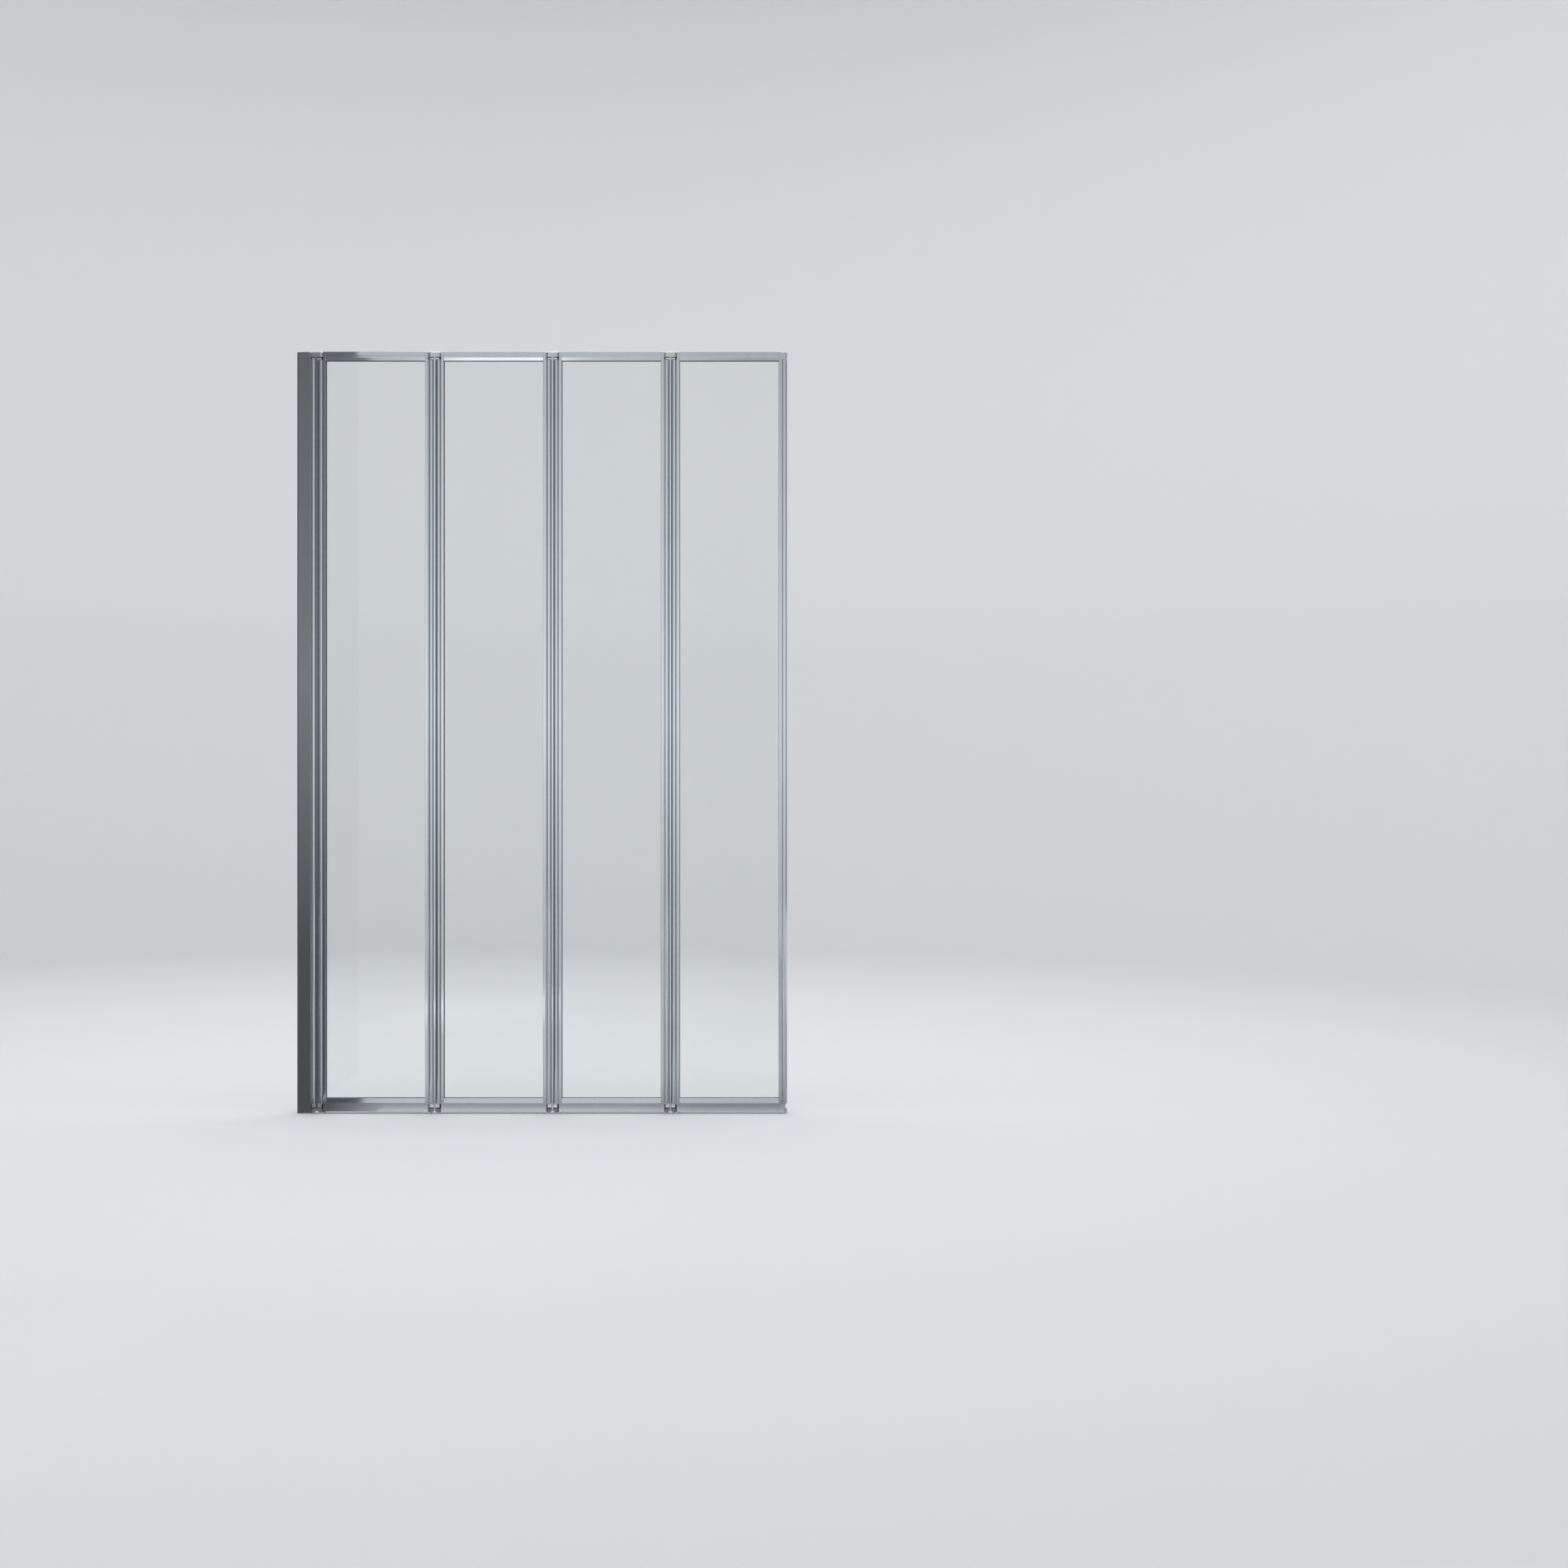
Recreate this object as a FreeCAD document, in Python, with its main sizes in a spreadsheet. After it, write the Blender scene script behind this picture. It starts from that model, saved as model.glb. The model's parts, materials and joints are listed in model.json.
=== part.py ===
import FreeCAD, Part
import Sketcher
import math
import os

# Folding bath screen: framed glass leaves in a row, joined by twin-pivot hinges, hung from a wall channel.
# X runs along the closed screen from the wall, Y across it with the bath on the +Y side, and Z up.
# The origin is on the wall, midway through the screen's thickness, at the height of the bath's rim.

LEAVES = 4
WALL_HOLES = 4
JAMB_SCREWS = 3

# Driving sizes in millimetres
SIZES = {
    # Whole screen
    "screen_width": 900.0,
    "screen_height": 1400.0,
    "frame_flange": 3.6,
    "fold_gap": 1.0,
    "running_gap": 0.3,
    "overrun": 0.5,
    # Barrels along the frames' edges, and the bushes and pins in them
    "barrel_standoff": 0.2,
    "barrel_web": 4.6,
    "bush_wall": 0.65,
    "bush_length": 15.0,
    "bush_flange": 1.0,
    "bush_flange_width": 1.4,
    "pin_radius": 1.5,
    "pin_play": 0.05,
    "pin_cover": 1.5,
    "end_play": 0.1,
    # Hinge strip, cap and foot between two barrels
    "strip_width": 3.6,
    "strip_depth": 8.8,
    "strip_chamfer": 0.5,
    "tang_depth": 4.8,
    "tang_length": 4.0,
    "cap_height": 9.0,
    "cap_round": 0.9,
    "upper_neck": 4.0,
    "lower_neck": 7.5,
    "neck_wall": 0.8,
    "foot_lift": 1.5,
    "foot_height": 7.5,
    "foot_notch_width": 1.6,
    "foot_notch_depth": 1.2,
    # Stiles
    "stile_floor": 0.9,
    "stile_pocket": 3.0,
    "stile_lift": 2.0,
    "edge_chamfer": 0.5,
    # Glass and its gasket
    "glass_thickness": 4.0,
    "gasket_side": 0.9,
    "gasket_floor": 0.6,
    "gasket_show": 1.2,
    # Rails
    "rail_wall": 1.2,
    "rail_lip": 1.1,
    "top_rail_height": 16.0,
    "top_pocket": 7.0,
    "top_bevel": 5.4,
    "top_flat": 2.0,
    "top_groove_height": 1.7,
    "top_groove_depth": 0.5,
    "bottom_rail_height": 24.0,
    "bottom_pocket": 9.0,
    "bottom_bevel": 8.2,
    "bottom_groove_height": 1.7,
    "bottom_groove_depth": 0.6,
    # Seal under each bottom rail
    "seal_drop": 4.0,
    "seal_width": 11.0,
    "seal_tip_width": 6.0,
    "seal_slot_width": 4.8,
    "seal_slot_mouth": 3.0,
    "seal_slot_lip": 1.2,
    "seal_slot_depth": 3.2,
    # Screws that hold each frame's corners
    "screw_radius": 1.5,
    "screw_length": 20.0,
    "screw_head_radius": 2.5,
    "screw_head": 1.1,
    "screw_clearance": 0.15,
    # Wall channel, the jamb that slides in it and the channel's cap
    "channel_wall": 1.4,
    "channel_base": 1.6,
    "channel_lip_gap": 0.5,
    "channel_chamfer": 0.4,
    "channel_cap": 1.5,
    "channel_cap_spigot": 8.0,
    "jamb_space": 6.3,
    "jamb_width": 15.0,
    "jamb_wall": 1.4,
    "jamb_fit": 0.1,
    "jamb_setback": 1.9,
    "jamb_lift": 1.0,
    "jamb_screw_radius": 1.75,
    "jamb_screw_length": 5.0,
    "jamb_screw_head_radius": 3.4,
    "jamb_screw_head": 1.4,
    "jamb_screw_margin": 150.0,
    "wall_hole_radius": 2.5,
    "wall_hole_margin": 80.0,
    # Plugs in the free barrel of the last leaf
    "plug_drop": 1.0,
    "plug_spigot": 10.0,
    "plug_neck_inset": 1.4,
}

# Places across and along the screen, worked out from the driving sizes
POCKET_HALF = "(Sizes.glass_thickness / 2 + Sizes.gasket_side)"
HALF_DEPTH = f"({POCKET_HALF} + Sizes.frame_flange)"
AXIS_SPACING = f"(2 * {HALF_DEPTH} + Sizes.fold_gap)"
STRIP_HALF = "(Sizes.strip_width / 2)"
BARREL_RADIUS = f"({AXIS_SPACING} / 2 - {STRIP_HALF} - Sizes.running_gap)"
PIN_BORE = "(Sizes.pin_radius + Sizes.pin_play)"
BUSH_RADIUS = f"({PIN_BORE} + Sizes.bush_wall)"
NECK_RADIUS = "(Sizes.pin_radius + Sizes.neck_wall)"
EDGE = f"({BARREL_RADIUS} + Sizes.barrel_standoff)"
CAP_RADIUS = f"({EDGE} - Sizes.running_gap)"
STILE_WEB = "(Sizes.screw_head + Sizes.stile_floor)"
STILE_POCKET = f"({EDGE} + {STILE_WEB})"
STILE_INNER = f"({STILE_POCKET} + Sizes.stile_pocket)"
JAMB_BACK = "(Sizes.channel_base + Sizes.jamb_space)"
JAMB_EDGE = f"({JAMB_BACK} + Sizes.jamb_width)"
JAMB_MIDDLE = f"(({JAMB_BACK} + {JAMB_EDGE}) / 2)"
CHANNEL_MOUTH = f"({JAMB_EDGE} + Sizes.jamb_setback)"
WALL_AXIS = f"({JAMB_EDGE} + {EDGE})"
LEAF_PITCH = f"((Sizes.screen_width - {BARREL_RADIUS} - {WALL_AXIS}) / {LEAVES})"
LEAF_SPAN = f"({LEAF_PITCH} - {AXIS_SPACING})"
CHANNEL_INNER = f"({BARREL_RADIUS} + Sizes.channel_lip_gap)"
CHANNEL_OUTER = f"({CHANNEL_INNER} + Sizes.channel_wall)"
JAMB_HALF = f"({CHANNEL_INNER} - Sizes.jamb_fit)"

# Heights, worked out from the driving sizes
TOP = "Sizes.screen_height"
CAP_BASE = f"({TOP} - Sizes.cap_height)"
UPPER_NECK_BASE = f"({CAP_BASE} - Sizes.upper_neck)"
UPPER_BUSH_END = f"({UPPER_NECK_BASE} - Sizes.end_play)"
BARREL_TOP = f"({UPPER_BUSH_END} - Sizes.bush_flange)"
FOOT_TOP = "(Sizes.foot_lift + Sizes.foot_height)"
LOWER_NECK_TOP = f"({FOOT_TOP} + Sizes.lower_neck)"
LOWER_BUSH_END = f"({LOWER_NECK_TOP} + Sizes.end_play)"
BARREL_BASE = f"({LOWER_BUSH_END} + Sizes.bush_flange)"
RAIL_BASE = "Sizes.seal_drop"
BOTTOM_RAIL_TOP = f"({RAIL_BASE} + Sizes.bottom_rail_height)"
BOTTOM_FLOOR = f"({BOTTOM_RAIL_TOP} - Sizes.bottom_pocket)"
BOTTOM_TENON = f"({RAIL_BASE} + Sizes.seal_slot_depth + Sizes.rail_wall)"
BOTTOM_PORT = f"(({BOTTOM_TENON} + {BOTTOM_FLOOR}) / 2)"
TOP_RAIL_BASE = f"({TOP} - Sizes.top_rail_height)"
TOP_FLOOR = f"({TOP_RAIL_BASE} + Sizes.top_pocket)"
TOP_PORT = f"(({TOP_FLOOR} + {TOP}) / 2)"
CHANNEL_TOP = f"({TOP} - Sizes.channel_cap)"
UPPER_PIN_SEAT = "(Sizes.cap_height - Sizes.pin_cover)"
LOWER_PIN_SEAT = "(Sizes.foot_height - Sizes.pin_cover)"

ALONG_X = FreeCAD.Rotation(FreeCAD.Vector(0, 1, 0), 90)
ALONG_Y = FreeCAD.Rotation(FreeCAD.Vector(1, 0, 0), -90)
ALONG_Z = FreeCAD.Rotation()

doc = FreeCAD.newDocument("FoldingBathScreen")
sheet = doc.addObject("Spreadsheet::Sheet", "Sizes")
for row, (alias, value) in enumerate(SIZES.items(), start=1):
    sheet.set(f"A{row}", alias)
    sheet.set(f"B{row}", str(value))
    sheet.setAlias(f"B{row}", alias)
doc.recompute()
subparts = []


# Shared ways of drawing, padding and drilling

def minus(text):
    return f"(-({text}))"


def number(text):
    """Value of an expression in the sheet's sizes."""
    return float(sheet.evalExpression(text))


def both_sides(half):
    """Outline that is the same on both sides, from the points (across, along) of its positive side."""
    return half + [(minus(across), along) for across, along in reversed(half)]


def turned(points):
    """Outline with its two directions swapped."""
    return [(second, first) for first, second in points]


def new_body(label, x="0"):
    """Body of one sub-part, with its own origin at this place along the screen."""
    body = doc.addObject("PartDesign::Body", label)
    body.Label = label
    body.setExpression("Placement.Base.x", x)
    subparts.append(body)
    return body


def new_sketch(body, plane, offset="0"):
    """Empty sketch on one of the body's own planes, moved along the plane's normal."""
    sketch = body.newObject("Sketcher::SketchObject", f"{body.Name}_sketch")
    support = next(f for f in body.Origin.OriginFeatures if f.Role == plane)
    sketch.AttachmentSupport = [(support, "")]
    sketch.MapMode = "FlatFace"
    sketch.setExpression("AttachmentOffset.Base.z", offset)
    return sketch


def fix_point(sketch, geometry, point, x, y):
    """Hold a point of the sketch at the two expressions."""
    for kind, text in (("DistanceX", x), ("DistanceY", y)):
        place = Sketcher.Constraint(kind, -1, 1, geometry, point, number(text))
        sketch.setExpression(f"Constraints[{sketch.addConstraint(place)}]", text)


def fix_radius(sketch, geometry, radius):
    size = Sketcher.Constraint("Radius", geometry, number(radius))
    sketch.setExpression(f"Constraints[{sketch.addConstraint(size)}]", radius)


def draw_outline(sketch, points):
    """Closed outline of straight lines through the points."""
    corners = [FreeCAD.Vector(number(x), number(y), 0) for x, y in points]
    ends = corners[1:] + corners[:1]
    lines = [sketch.addGeometry(Part.LineSegment(a, b)) for a, b in zip(corners, ends)]
    for line, following in zip(lines, lines[1:] + lines[:1]):
        sketch.addConstraint(Sketcher.Constraint("Coincident", line, 2, following, 1))
    for line, (x, y) in zip(lines, points):
        fix_point(sketch, line, 1, x, y)


def draw_box(sketch, x_low, x_high, y_low, y_high):
    draw_outline(sketch, [(x_low, y_low), (x_high, y_low), (x_high, y_high), (x_low, y_high)])


def draw_circle(sketch, x, y, radius):
    centre = FreeCAD.Vector(number(x), number(y), 0)
    circle = sketch.addGeometry(Part.Circle(centre, FreeCAD.Vector(0, 0, 1), number(radius)))
    fix_point(sketch, circle, 3, x, y)
    fix_radius(sketch, circle, radius)


def draw_oblong(sketch, half_spacing, radius):
    """Oblong with round ends about two centres on the sketch's first direction."""
    half, size = number(half_spacing), number(radius)
    up = FreeCAD.Vector(0, 0, 1)
    right = Part.Circle(FreeCAD.Vector(half, 0, 0), up, size)
    left = Part.Circle(FreeCAD.Vector(-half, 0, 0), up, size)
    quarter = math.pi / 2
    right_arc = sketch.addGeometry(Part.ArcOfCircle(right, -quarter, quarter))
    left_arc = sketch.addGeometry(Part.ArcOfCircle(left, quarter, 3 * quarter))
    corner = FreeCAD.Vector(half, size, 0)
    across = FreeCAD.Vector(2 * half, 0, 0)
    lift = FreeCAD.Vector(0, 2 * size, 0)
    upper = sketch.addGeometry(Part.LineSegment(corner, corner - across))
    lower = sketch.addGeometry(Part.LineSegment(corner - across - lift, corner - lift))
    ring = [(right_arc, upper), (upper, left_arc), (left_arc, lower), (lower, right_arc)]
    for first, second in ring:
        sketch.addConstraint(Sketcher.Constraint("Tangent", first, 2, second, 1))
    for arc, x in ((right_arc, half_spacing), (left_arc, minus(half_spacing))):
        fix_point(sketch, arc, 3, x, "0")
        fix_radius(sketch, arc, radius)


def pad(body, sketch, length):
    """Solid that the sketch sweeps along its plane's normal."""
    feature = body.newObject("PartDesign::Pad", f"{body.Name}_pad")
    feature.Profile = sketch
    feature.setExpression("Length", length)
    doc.recompute()
    return feature


def pocket(body, sketch, length):
    """Hollow that the sketch cuts against its plane's normal."""
    before = body.Shape.Volume
    feature = body.newObject("PartDesign::Pocket", f"{body.Name}_pocket")
    feature.Profile = sketch
    feature.setExpression("Length", length)
    doc.recompute()
    assert body.Shape.Volume < before, f"{body.Label}: a pocket cuts nothing"
    return feature


def drill(body, place, turn, radius, length):
    """Round hole that starts at the place and runs along the turned axis."""
    before = body.Shape.Volume
    hole = body.newObject("PartDesign::SubtractiveCylinder", f"{body.Name}_hole")
    hole.Placement = FreeCAD.Placement(FreeCAD.Vector(), turn)
    set_place(hole, place)
    hole.setExpression("Radius", radius)
    hole.setExpression("Height", length)
    doc.recompute()
    assert body.Shape.Volume < before, f"{body.Label}: a hole cuts nothing"


def set_place(item, place):
    for axis, text in zip("xyz", place):
        item.setExpression(f"Placement.Base.{axis}", text)


def new_cylinder(label, place, turn, radius, length):
    rod = doc.addObject("Part::Cylinder", label)
    rod.Placement = FreeCAD.Placement(FreeCAD.Vector(), turn)
    set_place(rod, place)
    rod.setExpression("Radius", radius)
    rod.setExpression("Height", length)
    return rod


def new_fuse(label, shapes):
    fuse = doc.addObject("Part::MultiFuse", label)
    fuse.Shapes = shapes
    return fuse


def new_group(label, solids):
    """Like pieces that share one node, each a solid of its own."""
    group = doc.addObject("Part::Compound", label)
    group.Label = label
    group.Links = solids
    subparts.append(group)
    return group


# Barrels, bushes, pins and screws, which several sub-parts have in common

def add_barrel(body, axis, towards):
    """Hollow barrel on a stile's or jamb's edge, joined to it by a web; towards is -1 or 1 along X."""
    web_start = f"{axis} + ({towards}) * ({BUSH_RADIUS} + {BARREL_RADIUS}) / 2"
    web_end = f"{axis} + ({towards}) * {EDGE}"
    length = f"{BARREL_TOP} - {BARREL_BASE}"
    web = new_sketch(body, "XY_Plane", BARREL_BASE)
    draw_box(web, web_start, web_end, "-Sizes.barrel_web / 2", "Sizes.barrel_web / 2")
    pad(body, web, length)
    tube = new_sketch(body, "XY_Plane", BARREL_BASE)
    draw_circle(tube, axis, "0", BARREL_RADIUS)
    draw_circle(tube, axis, "0", BUSH_RADIUS)
    pad(body, tube, length)


def make_bush(label, axis, upper):
    """Flanged bush pressed into one end of a barrel, its flange outside."""
    low = f"{BARREL_TOP} - Sizes.bush_length" if upper else LOWER_BUSH_END
    flange_low = BARREL_TOP if upper else LOWER_BUSH_END
    length = "Sizes.bush_length + Sizes.bush_flange"
    sleeve = new_cylinder(f"{label}_sleeve", (axis, "0", low), ALONG_Z, BUSH_RADIUS, length)
    flange_radius = f"{BUSH_RADIUS} + Sizes.bush_flange_width"
    flange_place = (axis, "0", flange_low)
    flange = new_cylinder(f"{label}_flange", flange_place, ALONG_Z, flange_radius, "Sizes.bush_flange")
    bore_place = (axis, "0", f"{low} - Sizes.overrun")
    bore_length = f"{length} + 2 * Sizes.overrun"
    bush = doc.addObject("Part::Cut", label)
    bush.Base = new_fuse(f"{label}_blank", [sleeve, flange])
    bush.Tool = new_cylinder(f"{label}_bore", bore_place, ALONG_Z, PIN_BORE, bore_length)
    return bush


def make_bushes(label, axes):
    """Bushes for the upper and lower ends of the barrels at these places along the screen."""
    bushes = []
    for side, axis in enumerate(axes, start=1):
        bushes.append(make_bush(f"{label}_upper_{side}", axis, True))
        bushes.append(make_bush(f"{label}_lower_{side}", axis, False))
    new_group(label, bushes)


def make_screw(label, seat, axis, towards, sizes):
    """Screw whose head's outer face is at the seat, pointing along X or Y; towards is -1 or 1."""
    radius, length, head_radius, head = sizes
    turn = ALONG_X if axis == "x" else ALONG_Y
    at = "xyz".index(axis)
    shank_low, head_low = list(seat), list(seat)
    if towards < 0:
        shank_low[at] = f"{seat[at]} - {head} - {length}"
        head_low[at] = f"{seat[at]} - {head}"
    else:
        shank_low[at] = f"{seat[at]} + {head}"
    shank = new_cylinder(f"{label}_shank", shank_low, turn, radius, length)
    top = new_cylinder(f"{label}_head", head_low, turn, head_radius, head)
    return new_fuse(label, [shank, top])


# Wall channel, jamb and what is fixed in them

def make_wall_channel():
    """Channel screwed to the wall, open towards the leaves."""
    body = new_body("wall_channel")
    inner, outer = CHANNEL_INNER, CHANNEL_OUTER
    chamfer = "Sizes.channel_chamfer"
    half = [
        (outer, "0"),
        (outer, f"{CHANNEL_MOUTH} - {chamfer}"),
        (f"{outer} - {chamfer}", CHANNEL_MOUTH),
        (inner, CHANNEL_MOUTH),
        (inner, "Sizes.channel_base"),
    ]
    section = new_sketch(body, "XY_Plane")
    draw_outline(section, turned(both_sides(half)))
    pad(body, section, CHANNEL_TOP)
    base_through = "Sizes.channel_base + 2 * Sizes.overrun"
    for height in wall_hole_heights():
        drill(body, ("-Sizes.overrun", "0", height), ALONG_X, "Sizes.wall_hole_radius", base_through)
    wall_through = "Sizes.channel_wall + 2 * Sizes.overrun"
    radius = "Sizes.jamb_screw_radius + Sizes.screw_clearance"
    for height in jamb_screw_heights():
        place = (JAMB_MIDDLE, f"{inner} - Sizes.overrun", height)
        drill(body, place, ALONG_Y, radius, wall_through)


def wall_hole_heights():
    """Heights of the holes for the wall's screws, evenly spread between two margins."""
    step = f"({TOP} - 2 * Sizes.wall_hole_margin) / {WALL_HOLES - 1}"
    return [f"Sizes.wall_hole_margin + {count} * {step}" for count in range(WALL_HOLES)]


def jamb_screw_heights():
    step = f"({TOP} - 2 * Sizes.jamb_screw_margin) / {JAMB_SCREWS - 1}"
    return [f"Sizes.jamb_screw_margin + {count} * {step}" for count in range(JAMB_SCREWS)]


def make_wall_jamb():
    """Box section that slides in the channel to suit an uneven wall, with the first barrel on its edge."""
    body = new_body("wall_jamb")
    wall = "Sizes.jamb_wall"
    section = new_sketch(body, "XY_Plane", "Sizes.jamb_lift")
    draw_box(section, JAMB_BACK, JAMB_EDGE, minus(JAMB_HALF), JAMB_HALF)
    hollow_half = f"{JAMB_HALF} - {wall}"
    draw_box(section, f"{JAMB_BACK} + {wall}", f"{JAMB_EDGE} - {wall}", minus(hollow_half), hollow_half)
    pad(body, section, f"{CHANNEL_TOP} - Sizes.jamb_lift")
    add_barrel(body, WALL_AXIS, -1)
    through = f"{wall} + 2 * Sizes.overrun"
    for height in jamb_screw_heights():
        place = (JAMB_MIDDLE, f"{hollow_half} - Sizes.overrun", height)
        drill(body, place, ALONG_Y, "Sizes.jamb_screw_radius", through)


def make_jamb_screws():
    """Screws through the channel's bath side that hold the jamb where it was set."""
    sizes = (
        "Sizes.jamb_screw_radius",
        "Sizes.jamb_screw_length",
        "Sizes.jamb_screw_head_radius",
        "Sizes.jamb_screw_head",
    )
    screws = []
    for count, height in enumerate(jamb_screw_heights(), start=1):
        seat = (JAMB_MIDDLE, f"({CHANNEL_OUTER} + Sizes.jamb_screw_head)", height)
        screws.append(make_screw(f"jamb_screw_{count}", seat, "y", -1, sizes))
    new_group("jamb_screws", screws)


def make_channel_cap():
    """Cap on the channel's top, held by a spigot in the space behind the jamb."""
    body = new_body("channel_cap")
    spigot = new_sketch(body, "XY_Plane", f"{CHANNEL_TOP} - Sizes.channel_cap_spigot")
    back = "Sizes.channel_base + Sizes.jamb_fit"
    draw_box(spigot, back, f"{JAMB_BACK} - Sizes.jamb_fit", minus(JAMB_HALF), JAMB_HALF)
    pad(body, spigot, "Sizes.channel_cap_spigot")
    plate = new_sketch(body, "XY_Plane", CHANNEL_TOP)
    draw_box(plate, "0", JAMB_EDGE, minus(CHANNEL_OUTER), CHANNEL_OUTER)
    pad(body, plate, "Sizes.channel_cap")


# Hinges, each a link with one pivot in the barrel on its left and one in the barrel on its right

def hinge_middle(count):
    return f"{WALL_AXIS} + {AXIS_SPACING} / 2 + {count - 1} * {LEAF_PITCH}"


def make_hinge_strip(count):
    """Bar that fills the space between two barrels, with a tang at each end for the cap and the foot."""
    body = new_body(f"hinge_{count}_strip", hinge_middle(count))
    chamfer = "Sizes.strip_chamfer"
    half = [
        (f"{STRIP_HALF} - {chamfer}", "-Sizes.strip_depth / 2"),
        (STRIP_HALF, f"-Sizes.strip_depth / 2 + {chamfer}"),
        (STRIP_HALF, f"Sizes.strip_depth / 2 - {chamfer}"),
        (f"{STRIP_HALF} - {chamfer}", "Sizes.strip_depth / 2"),
    ]
    bar = new_sketch(body, "XY_Plane", FOOT_TOP)
    draw_outline(bar, both_sides(half))
    pad(body, bar, f"{CAP_BASE} - {FOOT_TOP}")
    tang = new_sketch(body, "XY_Plane", f"{FOOT_TOP} - Sizes.tang_length")
    draw_box(tang, minus(STRIP_HALF), STRIP_HALF, "-Sizes.tang_depth / 2", "Sizes.tang_depth / 2")
    pad(body, tang, f"{CAP_BASE} - {FOOT_TOP} + 2 * Sizes.tang_length")


def add_strip_slots(body, neck_top, neck_height, slot_top, slot_height):
    """Room for the strip between the two necks, and for its tang in the cap or foot."""
    between = new_sketch(body, "XY_Plane", neck_top)
    reach = f"{NECK_RADIUS} + Sizes.overrun"
    draw_box(between, minus(STRIP_HALF), STRIP_HALF, minus(reach), reach)
    pocket(body, between, neck_height)
    slot = new_sketch(body, "XY_Plane", slot_top)
    draw_box(slot, minus(STRIP_HALF), STRIP_HALF, "-Sizes.tang_depth / 2", "Sizes.tang_depth / 2")
    pocket(body, slot, slot_height)


def round_rim(body, height):
    """Round the edges that lie at this height of the body."""
    level = number(height)
    feature = body.Tip
    rim = []
    for count, edge in enumerate(feature.Shape.Edges, start=1):
        if all(abs(vertex.Z - level) < edge.Tolerance for vertex in edge.Vertexes):
            rim.append(f"Edge{count}")
    fillet = body.newObject("PartDesign::Fillet", f"{body.Name}_round")
    fillet.Base = (feature, rim)
    fillet.setExpression("Radius", "Sizes.cap_round")
    doc.recompute()


def make_hinge_cap(count):
    """Upper end of a hinge, which carries two pins and sits over both barrels."""
    body = new_body(f"hinge_{count}_cap", hinge_middle(count))
    plate = new_sketch(body, "XY_Plane", CAP_BASE)
    draw_oblong(plate, f"{AXIS_SPACING} / 2", CAP_RADIUS)
    pad(body, plate, "Sizes.cap_height")
    round_rim(body, TOP)
    neck = new_sketch(body, "XY_Plane", UPPER_NECK_BASE)
    draw_oblong(neck, f"{AXIS_SPACING} / 2", NECK_RADIUS)
    pad(body, neck, "Sizes.upper_neck")
    tang_end = f"{CAP_BASE} + Sizes.tang_length"
    add_strip_slots(body, CAP_BASE, "Sizes.upper_neck", tang_end, "Sizes.tang_length")
    for side in (-1, 1):
        place = (f"{side} * {AXIS_SPACING} / 2", "0", f"{UPPER_NECK_BASE} - Sizes.overrun")
        length = f"Sizes.upper_neck + {UPPER_PIN_SEAT} + Sizes.overrun"
        drill(body, place, ALONG_Z, "Sizes.pin_radius", length)


def make_hinge_foot(count):
    """Lower end of a hinge, notched between its two lobes, on whose necks the barrels turn."""
    body = new_body(f"hinge_{count}_foot", hinge_middle(count))
    plate = new_sketch(body, "XY_Plane", "Sizes.foot_lift")
    draw_oblong(plate, f"{AXIS_SPACING} / 2", CAP_RADIUS)
    pad(body, plate, "Sizes.foot_height")
    notches = new_sketch(body, "XY_Plane", FOOT_TOP)
    notch_half = "Sizes.foot_notch_width / 2"
    for side in (-1, 1):
        inside = f"{side} * ({CAP_RADIUS} - Sizes.foot_notch_depth)"
        outside = f"{side} * ({CAP_RADIUS} + Sizes.overrun)"
        draw_box(notches, minus(notch_half), notch_half, inside, outside)
    pocket(body, notches, "Sizes.foot_height")
    neck = new_sketch(body, "XY_Plane", FOOT_TOP)
    draw_oblong(neck, f"{AXIS_SPACING} / 2", NECK_RADIUS)
    pad(body, neck, "Sizes.lower_neck")
    add_strip_slots(body, LOWER_NECK_TOP, "Sizes.lower_neck", FOOT_TOP, "Sizes.tang_length")
    for side in (-1, 1):
        place = (f"{side} * {AXIS_SPACING} / 2", "0", f"{FOOT_TOP} - {LOWER_PIN_SEAT}")
        length = f"Sizes.lower_neck + {LOWER_PIN_SEAT} + Sizes.overrun"
        drill(body, place, ALONG_Z, "Sizes.pin_radius", length)


def make_hinge_pins(count):
    """Pins pressed into the cap and the foot, which run in the barrels' bushes."""
    label = f"hinge_{count}_pins"
    pins = []
    for side in (-1, 1):
        axis = f"{hinge_middle(count)} + {side} * {AXIS_SPACING} / 2"
        upper_length = f"{UPPER_PIN_SEAT} + Sizes.upper_neck + Sizes.bush_length"
        upper = (axis, "0", f"{CAP_BASE} + {UPPER_PIN_SEAT} - ({upper_length})")
        name = f"{label}_{'left' if side < 0 else 'right'}"
        pins.append(new_cylinder(f"{name}_upper", upper, ALONG_Z, "Sizes.pin_radius", upper_length))
        lower_length = f"{LOWER_PIN_SEAT} + Sizes.lower_neck + Sizes.bush_length"
        lower = (axis, "0", f"{FOOT_TOP} - {LOWER_PIN_SEAT}")
        pins.append(new_cylinder(f"{name}_lower", lower, ALONG_Z, "Sizes.pin_radius", lower_length))
    new_group(label, pins)


# Leaves, each drawn from its left pivot and placed along the screen

def leaf_place(count):
    return f"{WALL_AXIS} + {AXIS_SPACING} + {count - 1} * {LEAF_PITCH}"


def from_edge(side, x):
    """Place along a leaf, measured from its left or its right pivot towards the glass."""
    return x if side == "left" else f"({LEAF_SPAN} - ({x}))"


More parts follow.
